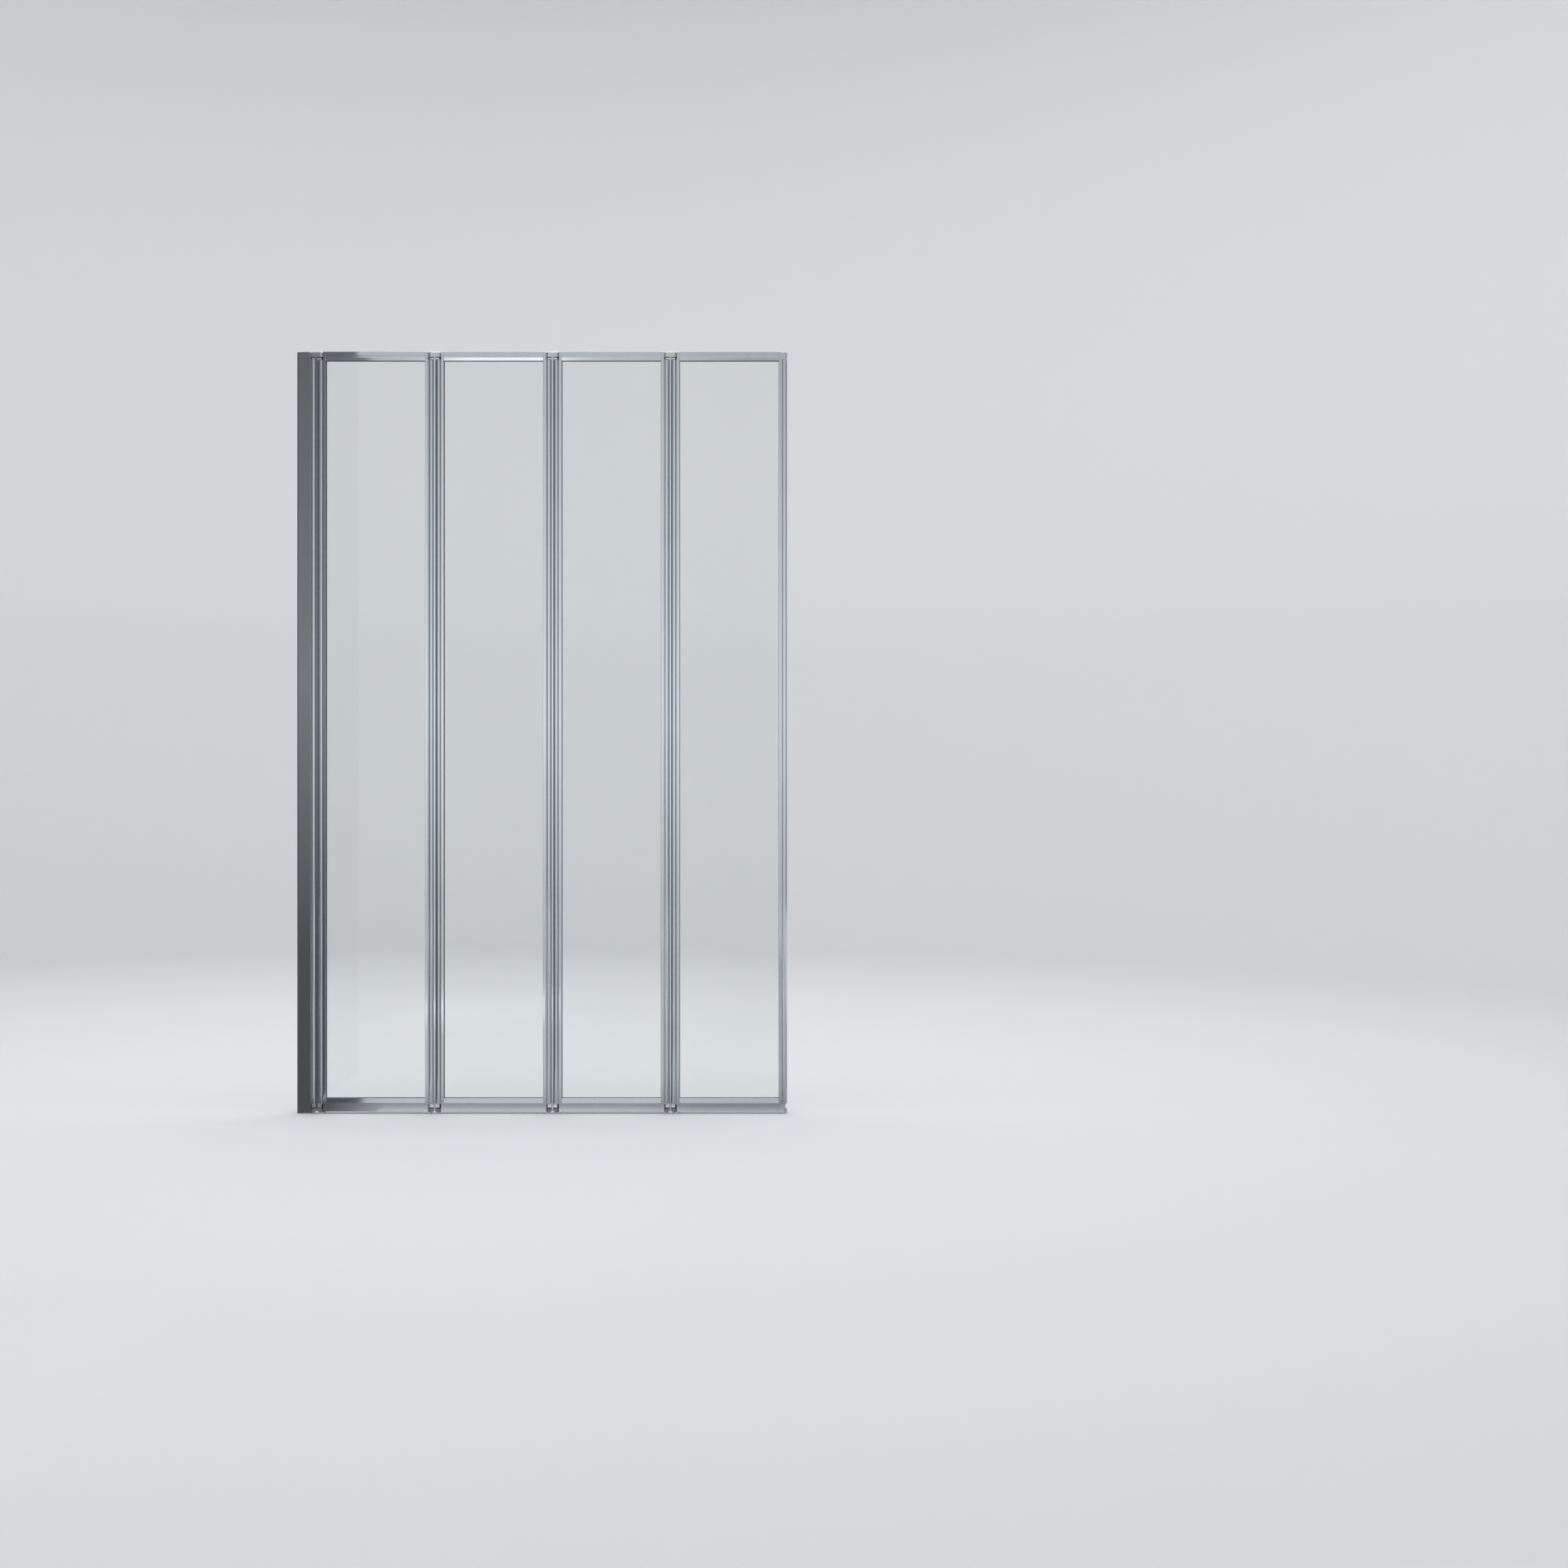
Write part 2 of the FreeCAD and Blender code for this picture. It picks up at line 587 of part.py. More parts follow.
def make_glass(count):
    """Sheet of toughened glass, its edges inside the gasket."""
    body = new_body(f"leaf_{count}_glass", leaf_place(count))
    sheet_outline = new_sketch(body, "XZ_Plane", "-Sizes.glass_thickness / 2")
    draw_glass(sheet_outline)
    pad(body, sheet_outline, "Sizes.glass_thickness")


def draw_glass(sketch):
    side = f"{STILE_POCKET} + Sizes.gasket_floor"
    low = f"{BOTTOM_FLOOR} + Sizes.gasket_floor"
    high = f"{TOP_FLOOR} - Sizes.gasket_floor"
    draw_box(sketch, side, from_edge("right", side), low, high)


def make_gasket(count):
    """Channel gasket that wraps the glass's four edges and shows as a thin line along the frame."""
    body = new_body(f"leaf_{count}_gasket", leaf_place(count))
    ring = new_sketch(body, "XZ_Plane", minus(POCKET_HALF))
    draw_box(ring, STILE_POCKET, from_edge("right", STILE_POCKET), BOTTOM_FLOOR, TOP_FLOOR)
    side = f"{STILE_INNER} + Sizes.gasket_show"
    low = f"{BOTTOM_RAIL_TOP} + Sizes.gasket_show"
    high = f"{TOP_RAIL_BASE} - Sizes.gasket_show"
    draw_box(ring, side, from_edge("right", side), low, high)
    pad(body, ring, f"2 * {POCKET_HALF}")
    groove = new_sketch(body, "XZ_Plane", "Sizes.glass_thickness / 2")
    draw_glass(groove)
    pocket(body, groove, "Sizes.glass_thickness")


def make_stile(count, side):
    """Upright of the frame: a channel for the glass, with a barrel on its outer edge."""
    body = new_body(f"leaf_{count}_{side}_stile", leaf_place(count))
    chamfer = "Sizes.edge_chamfer"
    half = [
        (f"{HALF_DEPTH} - {chamfer}", from_edge(side, EDGE)),
        (HALF_DEPTH, from_edge(side, f"{EDGE} + {chamfer}")),
        (HALF_DEPTH, from_edge(side, f"{STILE_INNER} - {chamfer}")),
        (f"{HALF_DEPTH} - {chamfer}", from_edge(side, STILE_INNER)),
        (POCKET_HALF, from_edge(side, STILE_INNER)),
        (POCKET_HALF, from_edge(side, STILE_POCKET)),
    ]
    section = new_sketch(body, "XY_Plane", "Sizes.stile_lift")
    draw_outline(section, turned(both_sides(half)))
    pad(body, section, f"{TOP} - Sizes.stile_lift")
    add_barrel(body, from_edge(side, "0"), 1 if side == "left" else -1)
    for port in (BOTTOM_PORT, TOP_PORT):
        hole = f"{STILE_WEB} + 2 * Sizes.overrun"
        start, end = f"{EDGE} - Sizes.overrun", f"{STILE_POCKET} + Sizes.overrun"
        low = start if side == "left" else from_edge(side, end)
        drill(body, (low, "0", port), ALONG_X, "Sizes.screw_radius + Sizes.screw_clearance", hole)
        recess = "Sizes.screw_head + Sizes.overrun"
        low = start if side == "left" else from_edge(side, f"{EDGE} + Sizes.screw_head")
        drill(body, (low, "0", port), ALONG_X, "Sizes.screw_head_radius + Sizes.screw_clearance", recess)


def make_rail(label, count, half, chambers, port, tenon):
    """Rail of the frame: a hollow extrusion with a screw port, whose core runs on into both stiles."""
    body = new_body(label, leaf_place(count))
    section = new_sketch(body, "YZ_Plane", STILE_INNER)
    draw_outline(section, both_sides(half))
    inside, outside, low, high = chambers
    draw_box(section, inside, outside, low, high)
    draw_box(section, minus(outside), minus(inside), low, high)
    draw_circle(section, "0", port, "Sizes.screw_radius")
    pad(body, section, f"{LEAF_SPAN} - 2 * {STILE_INNER}")
    core = new_sketch(body, "YZ_Plane", STILE_POCKET)
    draw_box(core, minus(POCKET_HALF), POCKET_HALF, *tenon)
    draw_circle(core, "0", port, "Sizes.screw_radius")
    pad(body, core, f"{LEAF_SPAN} - 2 * {STILE_POCKET}")


def make_top_rail(count):
    chamfer = "Sizes.edge_chamfer"
    bevel_top = f"{TOP_RAIL_BASE} + Sizes.top_bevel"
    groove_base = f"{bevel_top} + Sizes.top_flat"
    groove_top = f"{groove_base} + Sizes.top_groove_height"
    groove_floor = f"{HALF_DEPTH} - Sizes.top_groove_depth"
    half = [
        (f"{HALF_DEPTH} - {chamfer}", TOP),
        (HALF_DEPTH, f"{TOP} - {chamfer}"),
        (HALF_DEPTH, groove_top),
        (groove_floor, groove_top),
        (groove_floor, groove_base),
        (HALF_DEPTH, groove_base),
        (HALF_DEPTH, bevel_top),
        (f"{POCKET_HALF} + Sizes.rail_lip", TOP_RAIL_BASE),
        (POCKET_HALF, TOP_RAIL_BASE),
        (POCKET_HALF, TOP_FLOOR),
    ]
    chambers = (
        POCKET_HALF,
        f"{groove_floor} - Sizes.rail_wall",
        f"{TOP_FLOOR} + Sizes.rail_wall",
        f"{TOP} - Sizes.rail_wall",
    )
    make_rail(f"leaf_{count}_top_rail", count, half, chambers, TOP_PORT, (TOP_FLOOR, TOP))


def seal_slot_half():
    """Positive side of the undercut slot for the seal, from its roof down to its mouth."""
    slot_lip = f"{RAIL_BASE} + Sizes.seal_slot_lip"
    return [
        ("Sizes.seal_slot_width / 2", f"{RAIL_BASE} + Sizes.seal_slot_depth"),
        ("Sizes.seal_slot_width / 2", slot_lip),
        ("Sizes.seal_slot_mouth / 2", slot_lip),
        ("Sizes.seal_slot_mouth / 2", RAIL_BASE),
    ]


def make_bottom_rail(count):
    chamfer = "Sizes.edge_chamfer"
    groove_top = f"{BOTTOM_RAIL_TOP} - Sizes.bottom_bevel"
    groove_base = f"{groove_top} - Sizes.bottom_groove_height"
    groove_floor = f"{HALF_DEPTH} - Sizes.bottom_groove_depth"
    half = seal_slot_half() + [
        (f"{HALF_DEPTH} - {chamfer}", RAIL_BASE),
        (HALF_DEPTH, f"{RAIL_BASE} + {chamfer}"),
        (HALF_DEPTH, groove_base),
        (groove_floor, groove_base),
        (groove_floor, groove_top),
        (HALF_DEPTH, groove_top),
        (f"{POCKET_HALF} + Sizes.rail_lip", BOTTOM_RAIL_TOP),
        (POCKET_HALF, BOTTOM_RAIL_TOP),
        (POCKET_HALF, BOTTOM_FLOOR),
    ]
    chambers = (
        POCKET_HALF,
        f"{groove_floor} - Sizes.rail_wall",
        BOTTOM_TENON,
        f"{BOTTOM_FLOOR} - Sizes.rail_wall",
    )
    tenon = (BOTTOM_TENON, BOTTOM_FLOOR)
    make_rail(f"leaf_{count}_bottom_rail", count, half, chambers, BOTTOM_PORT, tenon)


def make_bottom_seal(count):
    """Soft strip pushed into the slot under the bottom rail, which wipes the bath's rim."""
    body = new_body(f"leaf_{count}_bottom_seal", leaf_place(count))
    half = seal_slot_half() + [("Sizes.seal_width / 2", RAIL_BASE), ("Sizes.seal_tip_width / 2", "0")]
    section = new_sketch(body, "YZ_Plane", STILE_INNER)
    draw_outline(section, both_sides(half))
    pad(body, section, f"{LEAF_SPAN} - 2 * {STILE_INNER}")


def make_frame_screws(count):
    """Screws through the stiles' edges into the rails' ports, their heads flush under the hinges."""
    sizes = ("Sizes.screw_radius", "Sizes.screw_length", "Sizes.screw_head_radius", "Sizes.screw_head")
    label = f"leaf_{count}_frame_screws"
    screws = []
    for side, towards in (("left", 1), ("right", -1)):
        for end, port in (("lower", BOTTOM_PORT), ("upper", TOP_PORT)):
            seat = (f"({leaf_place(count)} + {from_edge(side, EDGE)})", "0", port)
            screws.append(make_screw(f"{label}_{side}_{end}", seat, "x", towards, sizes))
    new_group(label, screws)


def make_leaf_bushes(count):
    """Bushes in the leaf's barrels; the last leaf's right barrel turns on nothing and has none."""
    axes = [leaf_place(count)]
    if count < LEAVES:
        axes.append(f"{leaf_place(count)} + {LEAF_SPAN}")
    make_bushes(f"leaf_{count}_hinge_bushes", axes)


# Plugs that close the free barrel at the screen's end

def make_end_plug(label, levels, radii):
    """Stack of round steps on the free barrel's axis, each between two of the levels."""
    body = new_body(label, leaf_place(LEAVES))
    axis = from_edge("right", "0")
    for low, high, radius in zip(levels, levels[1:], radii):
        step = new_sketch(body, "XY_Plane", low)
        draw_circle(step, axis, "0", radius)
        pad(body, step, f"{high} - ({low})")
    return body


def add_plug_web(body, low, high):
    """Block between a plug and the stile, like the web beside a barrel."""
    web = new_sketch(body, "XY_Plane", low)
    web_half = "Sizes.barrel_web / 2"
    draw_box(web, from_edge("right", EDGE), from_edge("right", "0"), minus(web_half), web_half)
    pad(body, web, f"{high} - ({low})")


def make_end_plugs():
    top = f"{TOP} - Sizes.plug_drop"
    levels = [f"{BARREL_TOP} - Sizes.plug_spigot", BARREL_TOP, top]
    upper = make_end_plug("end_plug_top", levels, [BUSH_RADIUS, CAP_RADIUS])
    add_plug_web(upper, BARREL_TOP, top)
    levels = ["Sizes.foot_lift", FOOT_TOP, BARREL_BASE, f"{BARREL_BASE} + Sizes.plug_spigot"]
    radii = [CAP_RADIUS, f"{CAP_RADIUS} - Sizes.plug_neck_inset", BUSH_RADIUS]
    lower = make_end_plug("end_plug_bottom", levels, radii)
    add_plug_web(lower, "Sizes.foot_lift", FOOT_TOP)


make_wall_channel()
make_wall_jamb()
make_jamb_screws()
make_bushes("jamb_bushes", [WALL_AXIS])
make_channel_cap()
for leaf in range(1, LEAVES + 1):
    make_hinge_strip(leaf)
    make_hinge_cap(leaf)
    make_hinge_foot(leaf)
    make_hinge_pins(leaf)
    make_glass(leaf)
    make_gasket(leaf)
    make_stile(leaf, "left")
    make_stile(leaf, "right")
    make_top_rail(leaf)
    make_bottom_rail(leaf)
    make_bottom_seal(leaf)
    make_frame_screws(leaf)
    make_leaf_bushes(leaf)
make_end_plugs()
doc.recompute()

# Every object must have come out whole before anything is written
failed = [item.Label for item in doc.Objects if {"Invalid", "Error"} & set(item.State)]
assert not failed, f"failed objects: {failed}"
for item in subparts:
    assert not item.Shape.isNull() and item.Shape.isValid(), f"{item.Label} has no valid shape"
    assert item.Shape.Solids, f"{item.Label} has no solid"

os.makedirs("parts", exist_ok=True)
for item in subparts:
    item.Shape.exportStep(f"parts/{item.Label}.step")
print(len(subparts), "sub-parts written")
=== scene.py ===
import bmesh
import bpy
import json
import math
from mathutils import Matrix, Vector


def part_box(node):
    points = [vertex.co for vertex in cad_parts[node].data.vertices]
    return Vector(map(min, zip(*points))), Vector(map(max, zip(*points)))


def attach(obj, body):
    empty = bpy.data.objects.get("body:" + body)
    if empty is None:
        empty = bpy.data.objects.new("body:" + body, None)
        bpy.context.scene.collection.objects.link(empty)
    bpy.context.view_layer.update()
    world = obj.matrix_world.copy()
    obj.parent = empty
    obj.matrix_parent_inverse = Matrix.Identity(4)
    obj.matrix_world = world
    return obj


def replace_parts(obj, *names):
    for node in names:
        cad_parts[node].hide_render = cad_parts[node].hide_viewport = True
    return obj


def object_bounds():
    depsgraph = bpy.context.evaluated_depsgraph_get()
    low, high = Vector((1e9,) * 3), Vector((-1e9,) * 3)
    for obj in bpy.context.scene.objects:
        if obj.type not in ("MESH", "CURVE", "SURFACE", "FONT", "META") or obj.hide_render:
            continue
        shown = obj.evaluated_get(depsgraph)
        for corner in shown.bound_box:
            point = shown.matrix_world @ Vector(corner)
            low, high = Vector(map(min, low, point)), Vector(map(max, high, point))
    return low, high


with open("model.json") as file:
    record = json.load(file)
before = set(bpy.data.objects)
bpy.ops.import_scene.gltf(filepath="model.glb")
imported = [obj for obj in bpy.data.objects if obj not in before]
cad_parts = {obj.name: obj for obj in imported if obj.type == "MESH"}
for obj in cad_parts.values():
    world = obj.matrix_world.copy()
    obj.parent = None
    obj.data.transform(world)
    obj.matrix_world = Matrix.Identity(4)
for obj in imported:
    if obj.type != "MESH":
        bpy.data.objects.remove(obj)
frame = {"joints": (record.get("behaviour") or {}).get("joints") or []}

cad_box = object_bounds()

# Channel
# Extruded aluminium channel, bright polished and anodised, cut to the screen's height.
# Screws through its base hold it, over a black foam tape, and the jamb slides in its open side. The black
# tape is painted shadow: a dark strip for the shadow line where the channel meets the wall.
MM = 0.001
CHANNEL_WALL = 1.4 * MM
CHANNEL_BASE = 3.0 * MM
TAPE = 1.4 * MM
TAPE_INSET = 0.25 * MM
HOLES = 4
HOLE_RADIUS = 2.5 * MM
HOLE_MARGIN = 80 * MM
ARRIS = 0.3 * MM
EASED_ANGLE = math.radians(15)
SHARP_ANGLE = math.radians(34)
FLATS_WEIGHT = 80
BRIGHT_ALUMINIUM = (0.775, 0.808, 0.840, 1)
DULL_ALUMINIUM = (0.720, 0.755, 0.792, 1)
# Black of the tape and blocks, which stand in for shadow lines and shade in gaps: painted shade, its two
# tones varying at random
SHADE_BLACK_LIGHT = (0.010, 0.0105, 0.011, 1)
SHADE_BLACK_DARK = (0.006, 0.0062, 0.0066, 1)


def grow(bm, faces, distance):
    """Draws flat faces out along Z into a closed shape."""
    grown = bmesh.ops.extrude_face_region(bm, geom=faces)["geom"]
    moved = [part for part in grown if isinstance(part, bmesh.types.BMVert)]
    bmesh.ops.translate(bm, verts=moved, vec=(0, 0, distance))


def extruded(bm, outline, start, end):
    """Closed bar whose outline, in X and Y, runs along Z from start to end."""
    face = bm.faces.new([bm.verts.new((x, y, start)) for x, y in outline])
    grow(bm, [face], end - start)


def rectangle(x_low, x_high, y_low, y_high):
    """The four corners of a rectangle, in turn."""
    return [(x_low, y_low), (x_high, y_low), (x_high, y_high), (x_low, y_high)]


def ease_edges(bm, width, segments=3, wanted=lambda edge: True):
    """Rounds the corners that a maker would ease, which leaves out those that are nearly flat."""
    bmesh.ops.recalc_face_normals(bm, faces=bm.faces)
    edges = [edge for edge in bm.edges if edge.calc_face_angle(0) > EASED_ANGLE and wanted(edge)]
    bmesh.ops.bevel(bm, geom=edges, offset=width, affect="EDGES", segments=segments, profile=0.5,
                    material=-1, clamp_overlap=True)


def add_drill(bm, radius, length, centre, turn, segments):
    """Round cutting tool, laid down by a quarter turn about X or Y."""
    place = Matrix.Translation(centre) @ Matrix.Rotation(math.pi / 2, 4, turn)
    bmesh.ops.create_cone(bm, cap_ends=True, segments=segments, radius1=radius, radius2=radius,
                          depth=length, matrix=place)


def add_noise(group, vector, scale, detail):
    noise = group.nodes.new("ShaderNodeTexNoise")
    noise.inputs["Scale"].default_value = scale
    noise.inputs["Detail"].default_value = detail
    group.links.new(vector, noise.inputs["Vector"])
    return noise.outputs["Fac"]


def add_range(group, value, limits, low, high):
    """The value between its two limits, spread over low to high."""
    spread = group.nodes.new("ShaderNodeMapRange")
    spread.inputs["From Min"].default_value, spread.inputs["From Max"].default_value = limits
    group.links.new(value, spread.inputs["Value"])
    for socket, end in (("To Min", low), ("To Max", high)):
        if isinstance(end, float):
            spread.inputs[socket].default_value = end
        else:
            group.links.new(end, spread.inputs[socket])
    return spread.outputs["Result"]


def new_effect(name, fine_detail, patch_scale, patch_detail, patch_share, limits):
    """Node group for a surface with fine marks and broad patches, between two colours and roughnesses."""
    group = bpy.data.node_groups.new(name, "ShaderNodeTree")
    taken = {"Place": "Vector", "Along": "Vector", "Light": "Color", "Dark": "Color",
             "Smooth": "Float", "Rough": "Float"}
    for label, kind in taken.items():
        group.interface.new_socket(label, in_out="INPUT", socket_type=f"NodeSocket{kind}")
    for label, kind in {"Colour": "Color", "Roughness": "Float", "Height": "Float"}.items():
        group.interface.new_socket(label, in_out="OUTPUT", socket_type=f"NodeSocket{kind}")
    given, made = group.nodes.new("NodeGroupInput"), group.nodes.new("NodeGroupOutput")
    fine = add_noise(group, given.outputs["Along"], scale=1.0, detail=fine_detail)
    patches = add_noise(group, given.outputs["Place"], scale=patch_scale, detail=patch_detail)
    both = group.nodes.new("ShaderNodeMath")
    both.operation = "MULTIPLY_ADD"
    both.inputs[1].default_value = patch_share
    group.links.new(patches, both.inputs[0])
    group.links.new(fine, both.inputs[2])
    tone = add_range(group, both.outputs[0], limits, low=0.0, high=1.0)
    colour = group.nodes.new("ShaderNodeMix")
    colour.data_type = "RGBA"
    group.links.new(tone, colour.inputs["Factor"])
    group.links.new(given.outputs["Light"], colour.inputs[6])
    group.links.new(given.outputs["Dark"], colour.inputs[7])
    roughness = add_range(group, tone, (0.0, 1.0), given.outputs["Smooth"], given.outputs["Rough"])
    group.links.new(colour.outputs[2], made.inputs["Colour"])
    group.links.new(roughness, made.inputs["Roughness"])
    group.links.new(fine, made.inputs["Height"])
    return group


def finished_material(name, effect, stretch, relief, colours, roughness, **shader_values):
    """Material whose colour, roughness and fine relief come from a shared effect.

    The other values go to the shader's own sockets, whose names have spaces for underscores.
    """
    material = bpy.data.materials.new(name)
    material.use_nodes = True
    nodes, links = material.node_tree.nodes, material.node_tree.links
    shader = nodes["Principled BSDF"]
    for socket, value in shader_values.items():
        shader.inputs[socket.replace("_", " ")].default_value = value
    place = nodes.new("ShaderNodeTexCoord")
    along = nodes.new("ShaderNodeMapping")
    along.inputs["Scale"].default_value = stretch
    group = nodes.new("ShaderNodeGroup")
    group.node_tree = effect
    group.inputs["Light"].default_value, group.inputs["Dark"].default_value = colours
    group.inputs["Smooth"].default_value, group.inputs["Rough"].default_value = roughness
    bump = nodes.new("ShaderNodeBump")
    bump.inputs["Strength"].default_value = 1.0
    bump.inputs["Distance"].default_value = relief
    links.new(place.outputs["Object"], along.inputs["Vector"])
    links.new(place.outputs["Object"], group.inputs["Place"])
    links.new(along.outputs["Vector"], group.inputs["Along"])
    links.new(group.outputs["Colour"], shader.inputs["Base Color"])
    links.new(group.outputs["Roughness"], shader.inputs["Roughness"])
    links.new(group.outputs["Height"], bump.inputs["Height"])
    links.new(bump.outputs["Normal"], shader.inputs["Normal"])
    return material


# Drawn metal has fine lines along its length from the die and the polishing wheel, and uneven patches
drawn_lines = new_effect("drawn_lines", fine_detail=3.0, patch_scale=22.0, patch_detail=4.0,
                         patch_share=0.8, limits=(0.55, 1.2))
upright_aluminium = finished_material(
    "upright_aluminium", drawn_lines, stretch=(700, 700, 3), relief=0.0015 * MM,
    colours=(BRIGHT_ALUMINIUM, DULL_ALUMINIUM), roughness=(0.05, 0.13), Metallic=1.0)
# Moulded skin has a fine even grain from the mould, and slightly cloudy colour
moulded_skin = new_effect("moulded_skin", fine_detail=2.0, patch_scale=160.0, patch_detail=3.0,
                          patch_share=0.7, limits=(0.55, 1.15))
# Black foam of the tape: painted shadow, dark for the shade where the channel meets the wall
shadow_line_foam = finished_material(
    "shadow_line_foam", moulded_skin, stretch=(1400, 1400, 1400), relief=0.03 * MM,
    colours=(SHADE_BLACK_LIGHT, SHADE_BLACK_DARK), roughness=(0.7, 0.9), Specular_IOR_Level=0.2)


def smooth_rounds(piece):
    """Shades eased edges as rounds, and keeps the flats beside them flat."""
    piece.data.shade_smooth()
    piece.data.set_sharp_from_angle(angle=SHARP_ANGLE)
    flats = piece.modifiers.new("flats", "WEIGHTED_NORMAL")
    flats.keep_sharp = True
    flats.weight = FLATS_WEIGHT


def new_piece(name, bm, body, slot, material, *nodes):
    """Piece made of a finished bmesh, which rides on a body and stands for these nodes."""
    bmesh.ops.recalc_face_normals(bm, faces=bm.faces)
    mesh = bpy.data.meshes.new(name)
    bm.to_mesh(mesh)
    bm.free()
    mesh.materials.append(material)
    piece = bpy.data.objects.new(name, mesh)
    bpy.context.scene.collection.objects.link(piece)
    smooth_rounds(piece)
    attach(piece, body)
    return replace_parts(piece, *nodes) if nodes else piece


def cut_away(piece, tools):
    """Cuts the closed shapes of a bmesh out of a piece."""
    mesh = bpy.data.meshes.new("tools")
    bmesh.ops.recalc_face_normals(tools, faces=tools.faces)
    tools.to_mesh(mesh)
    tools.free()
    cutter = bpy.data.objects.new("tools", mesh)
    bpy.context.scene.collection.objects.link(cutter)
    piece.modifiers.clear()
    cut = piece.modifiers.new("cut", "BOOLEAN")
    cut.operation, cut.solver, cut.object = "DIFFERENCE", "EXACT", cutter
    graph = bpy.context.evaluated_depsgraph_get()
    piece.data = bpy.data.meshes.new_from_object(piece.evaluated_get(graph))
    piece.modifiers.clear()
    smooth_rounds(piece)
    bpy.data.objects.remove(cutter)


low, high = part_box("wall_channel")
inner = high.y - CHANNEL_WALL
back, base = low.x + TAPE, low.x + CHANNEL_BASE
bm = bmesh.new()
extruded(bm, [(back, low.y), (high.x, low.y), (high.x, -inner), (base, -inner),
              (base, inner), (high.x, inner), (high.x, high.y), (back, high.y)], low.z, high.z)
ease_edges(bm, ARRIS)
channel = new_piece("channel_profile", bm, "wall", "polished_aluminium", upright_aluminium, "wall_channel")
# Black tape behind the channel's back: painted shadow, a dark strip where the shadow line between channel and
# wall falls
bm = bmesh.new()
extruded(bm, rectangle(low.x, back, low.y + TAPE_INSET, high.y - TAPE_INSET), low.z, high.z)
tape = new_piece("channel_shadow_line_tape", bm, "wall", "grey_gasket", shadow_line_foam)
hole_spacing = (cad_box[1].z - 2 * HOLE_MARGIN) / (HOLES - 1)
for piece in (channel, tape):
    drills = bmesh.new()
    for count in range(HOLES):
        centre = (low.x + CHANNEL_BASE / 2, 0, HOLE_MARGIN + count * hole_spacing)
        add_drill(drills, HOLE_RADIUS, 2 * CHANNEL_BASE, centre, turn="Y", segments=32)
    cut_away(piece, drills)

# Jamb
# Box section of the same aluminium that slides in the channel until the screen stands plumb.
# The barrel on its edge, drawn in one piece with it, takes the first hinge's pins.
JAMB_WALL = 1.4 * MM
BARREL_STANDOFF = 0.2 * MM
BARREL_WEB = 4.6 * MM
BARREL_CHAMFER = 0.35 * MM
BUSH_RADIUS = 2.2 * MM
BUSH_FLANGE = 1.0 * MM
SAME_PLACE = 0.0001 * MM
axis_of = {joint["name"]: joint["pos_m"][0] for joint in frame["joints"]}
bush_low, bush_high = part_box("jamb_bushes")
barrel_low, barrel_high = bush_low.z + BUSH_FLANGE, bush_high.z - BUSH_FLANGE
low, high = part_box("wall_jamb")
jamb_axis = axis_of["hinge_1_turn"]
barrel_radius = high.x - jamb_axis


def closed_loop(bm, points):
    """Edges that join these points in a ring."""
    verts = [bm.verts.new(point) for point in points]
    return [bm.edges.new(pair) for pair in zip(verts, verts[1:] + verts[:1])]


def hollow(bm, outside, inside, start, end):
    """Closed tube between two outlines with as many corners, along Z from start to end."""
    loops = [closed_loop(bm, [(x, y, start) for x, y in outline]) for outline in (outside, inside)]
    faces = bmesh.ops.bridge_loops(bm, edges=loops[0] + loops[1])["faces"]
    grow(bm, faces, end - start)


def turned(bm, section, axis, steps=48):
    """Round shape about an upright axis at this X, from the outline (radius, height) of one side."""
    verts = [bm.verts.new((axis + radius, 0, height)) for radius, height in section]
    pairs = zip(verts, verts[1:] + verts[:1])
    off_axis = [pair for pair in pairs if pair[0].co.x + pair[1].co.x > 2 * axis + SAME_PLACE]
    edges = [bm.edges.new(pair) for pair in off_axis]
    bmesh.ops.spin(bm, geom=verts + edges, cent=(axis, 0, 0), axis=(0, 0, 1), angle=math.tau,
                   steps=steps, use_merge=True)
    bmesh.ops.remove_doubles(bm, verts=bm.verts, dist=SAME_PLACE)


def add_barrel(bm, axis, towards):
    """Hollow barrel with chamfered ends, and a web towards the edge beside it, -1 or 1 along X."""
    web = sorted((axis + towards * (BUSH_RADIUS + barrel_radius) / 2,
                  axis + towards * (barrel_radius + 2 * BARREL_STANDOFF)))
    extruded(bm, rectangle(*web, -BARREL_WEB / 2, BARREL_WEB / 2), barrel_low, barrel_high)
    end_radius = barrel_radius - BARREL_CHAMFER
    turned(bm, [(BUSH_RADIUS, barrel_low), (end_radius, barrel_low),
                (barrel_radius, barrel_low + BARREL_CHAMFER), (barrel_radius, barrel_high - BARREL_CHAMFER),
                (end_radius, barrel_high), (BUSH_RADIUS, barrel_high)], axis, steps=64)


edge = jamb_axis - barrel_radius - BARREL_STANDOFF
bm = bmesh.new()
hollow(bm, rectangle(low.x, edge, low.y, high.y),
       rectangle(low.x + JAMB_WALL, edge - JAMB_WALL, low.y + JAMB_WALL, high.y - JAMB_WALL), low.z, high.z)
ease_edges(bm, ARRIS)
add_barrel(bm, jamb_axis, -1)
new_piece("jamb_profile", bm, "wall", "polished_aluminium", upright_aluminium, "wall_jamb")

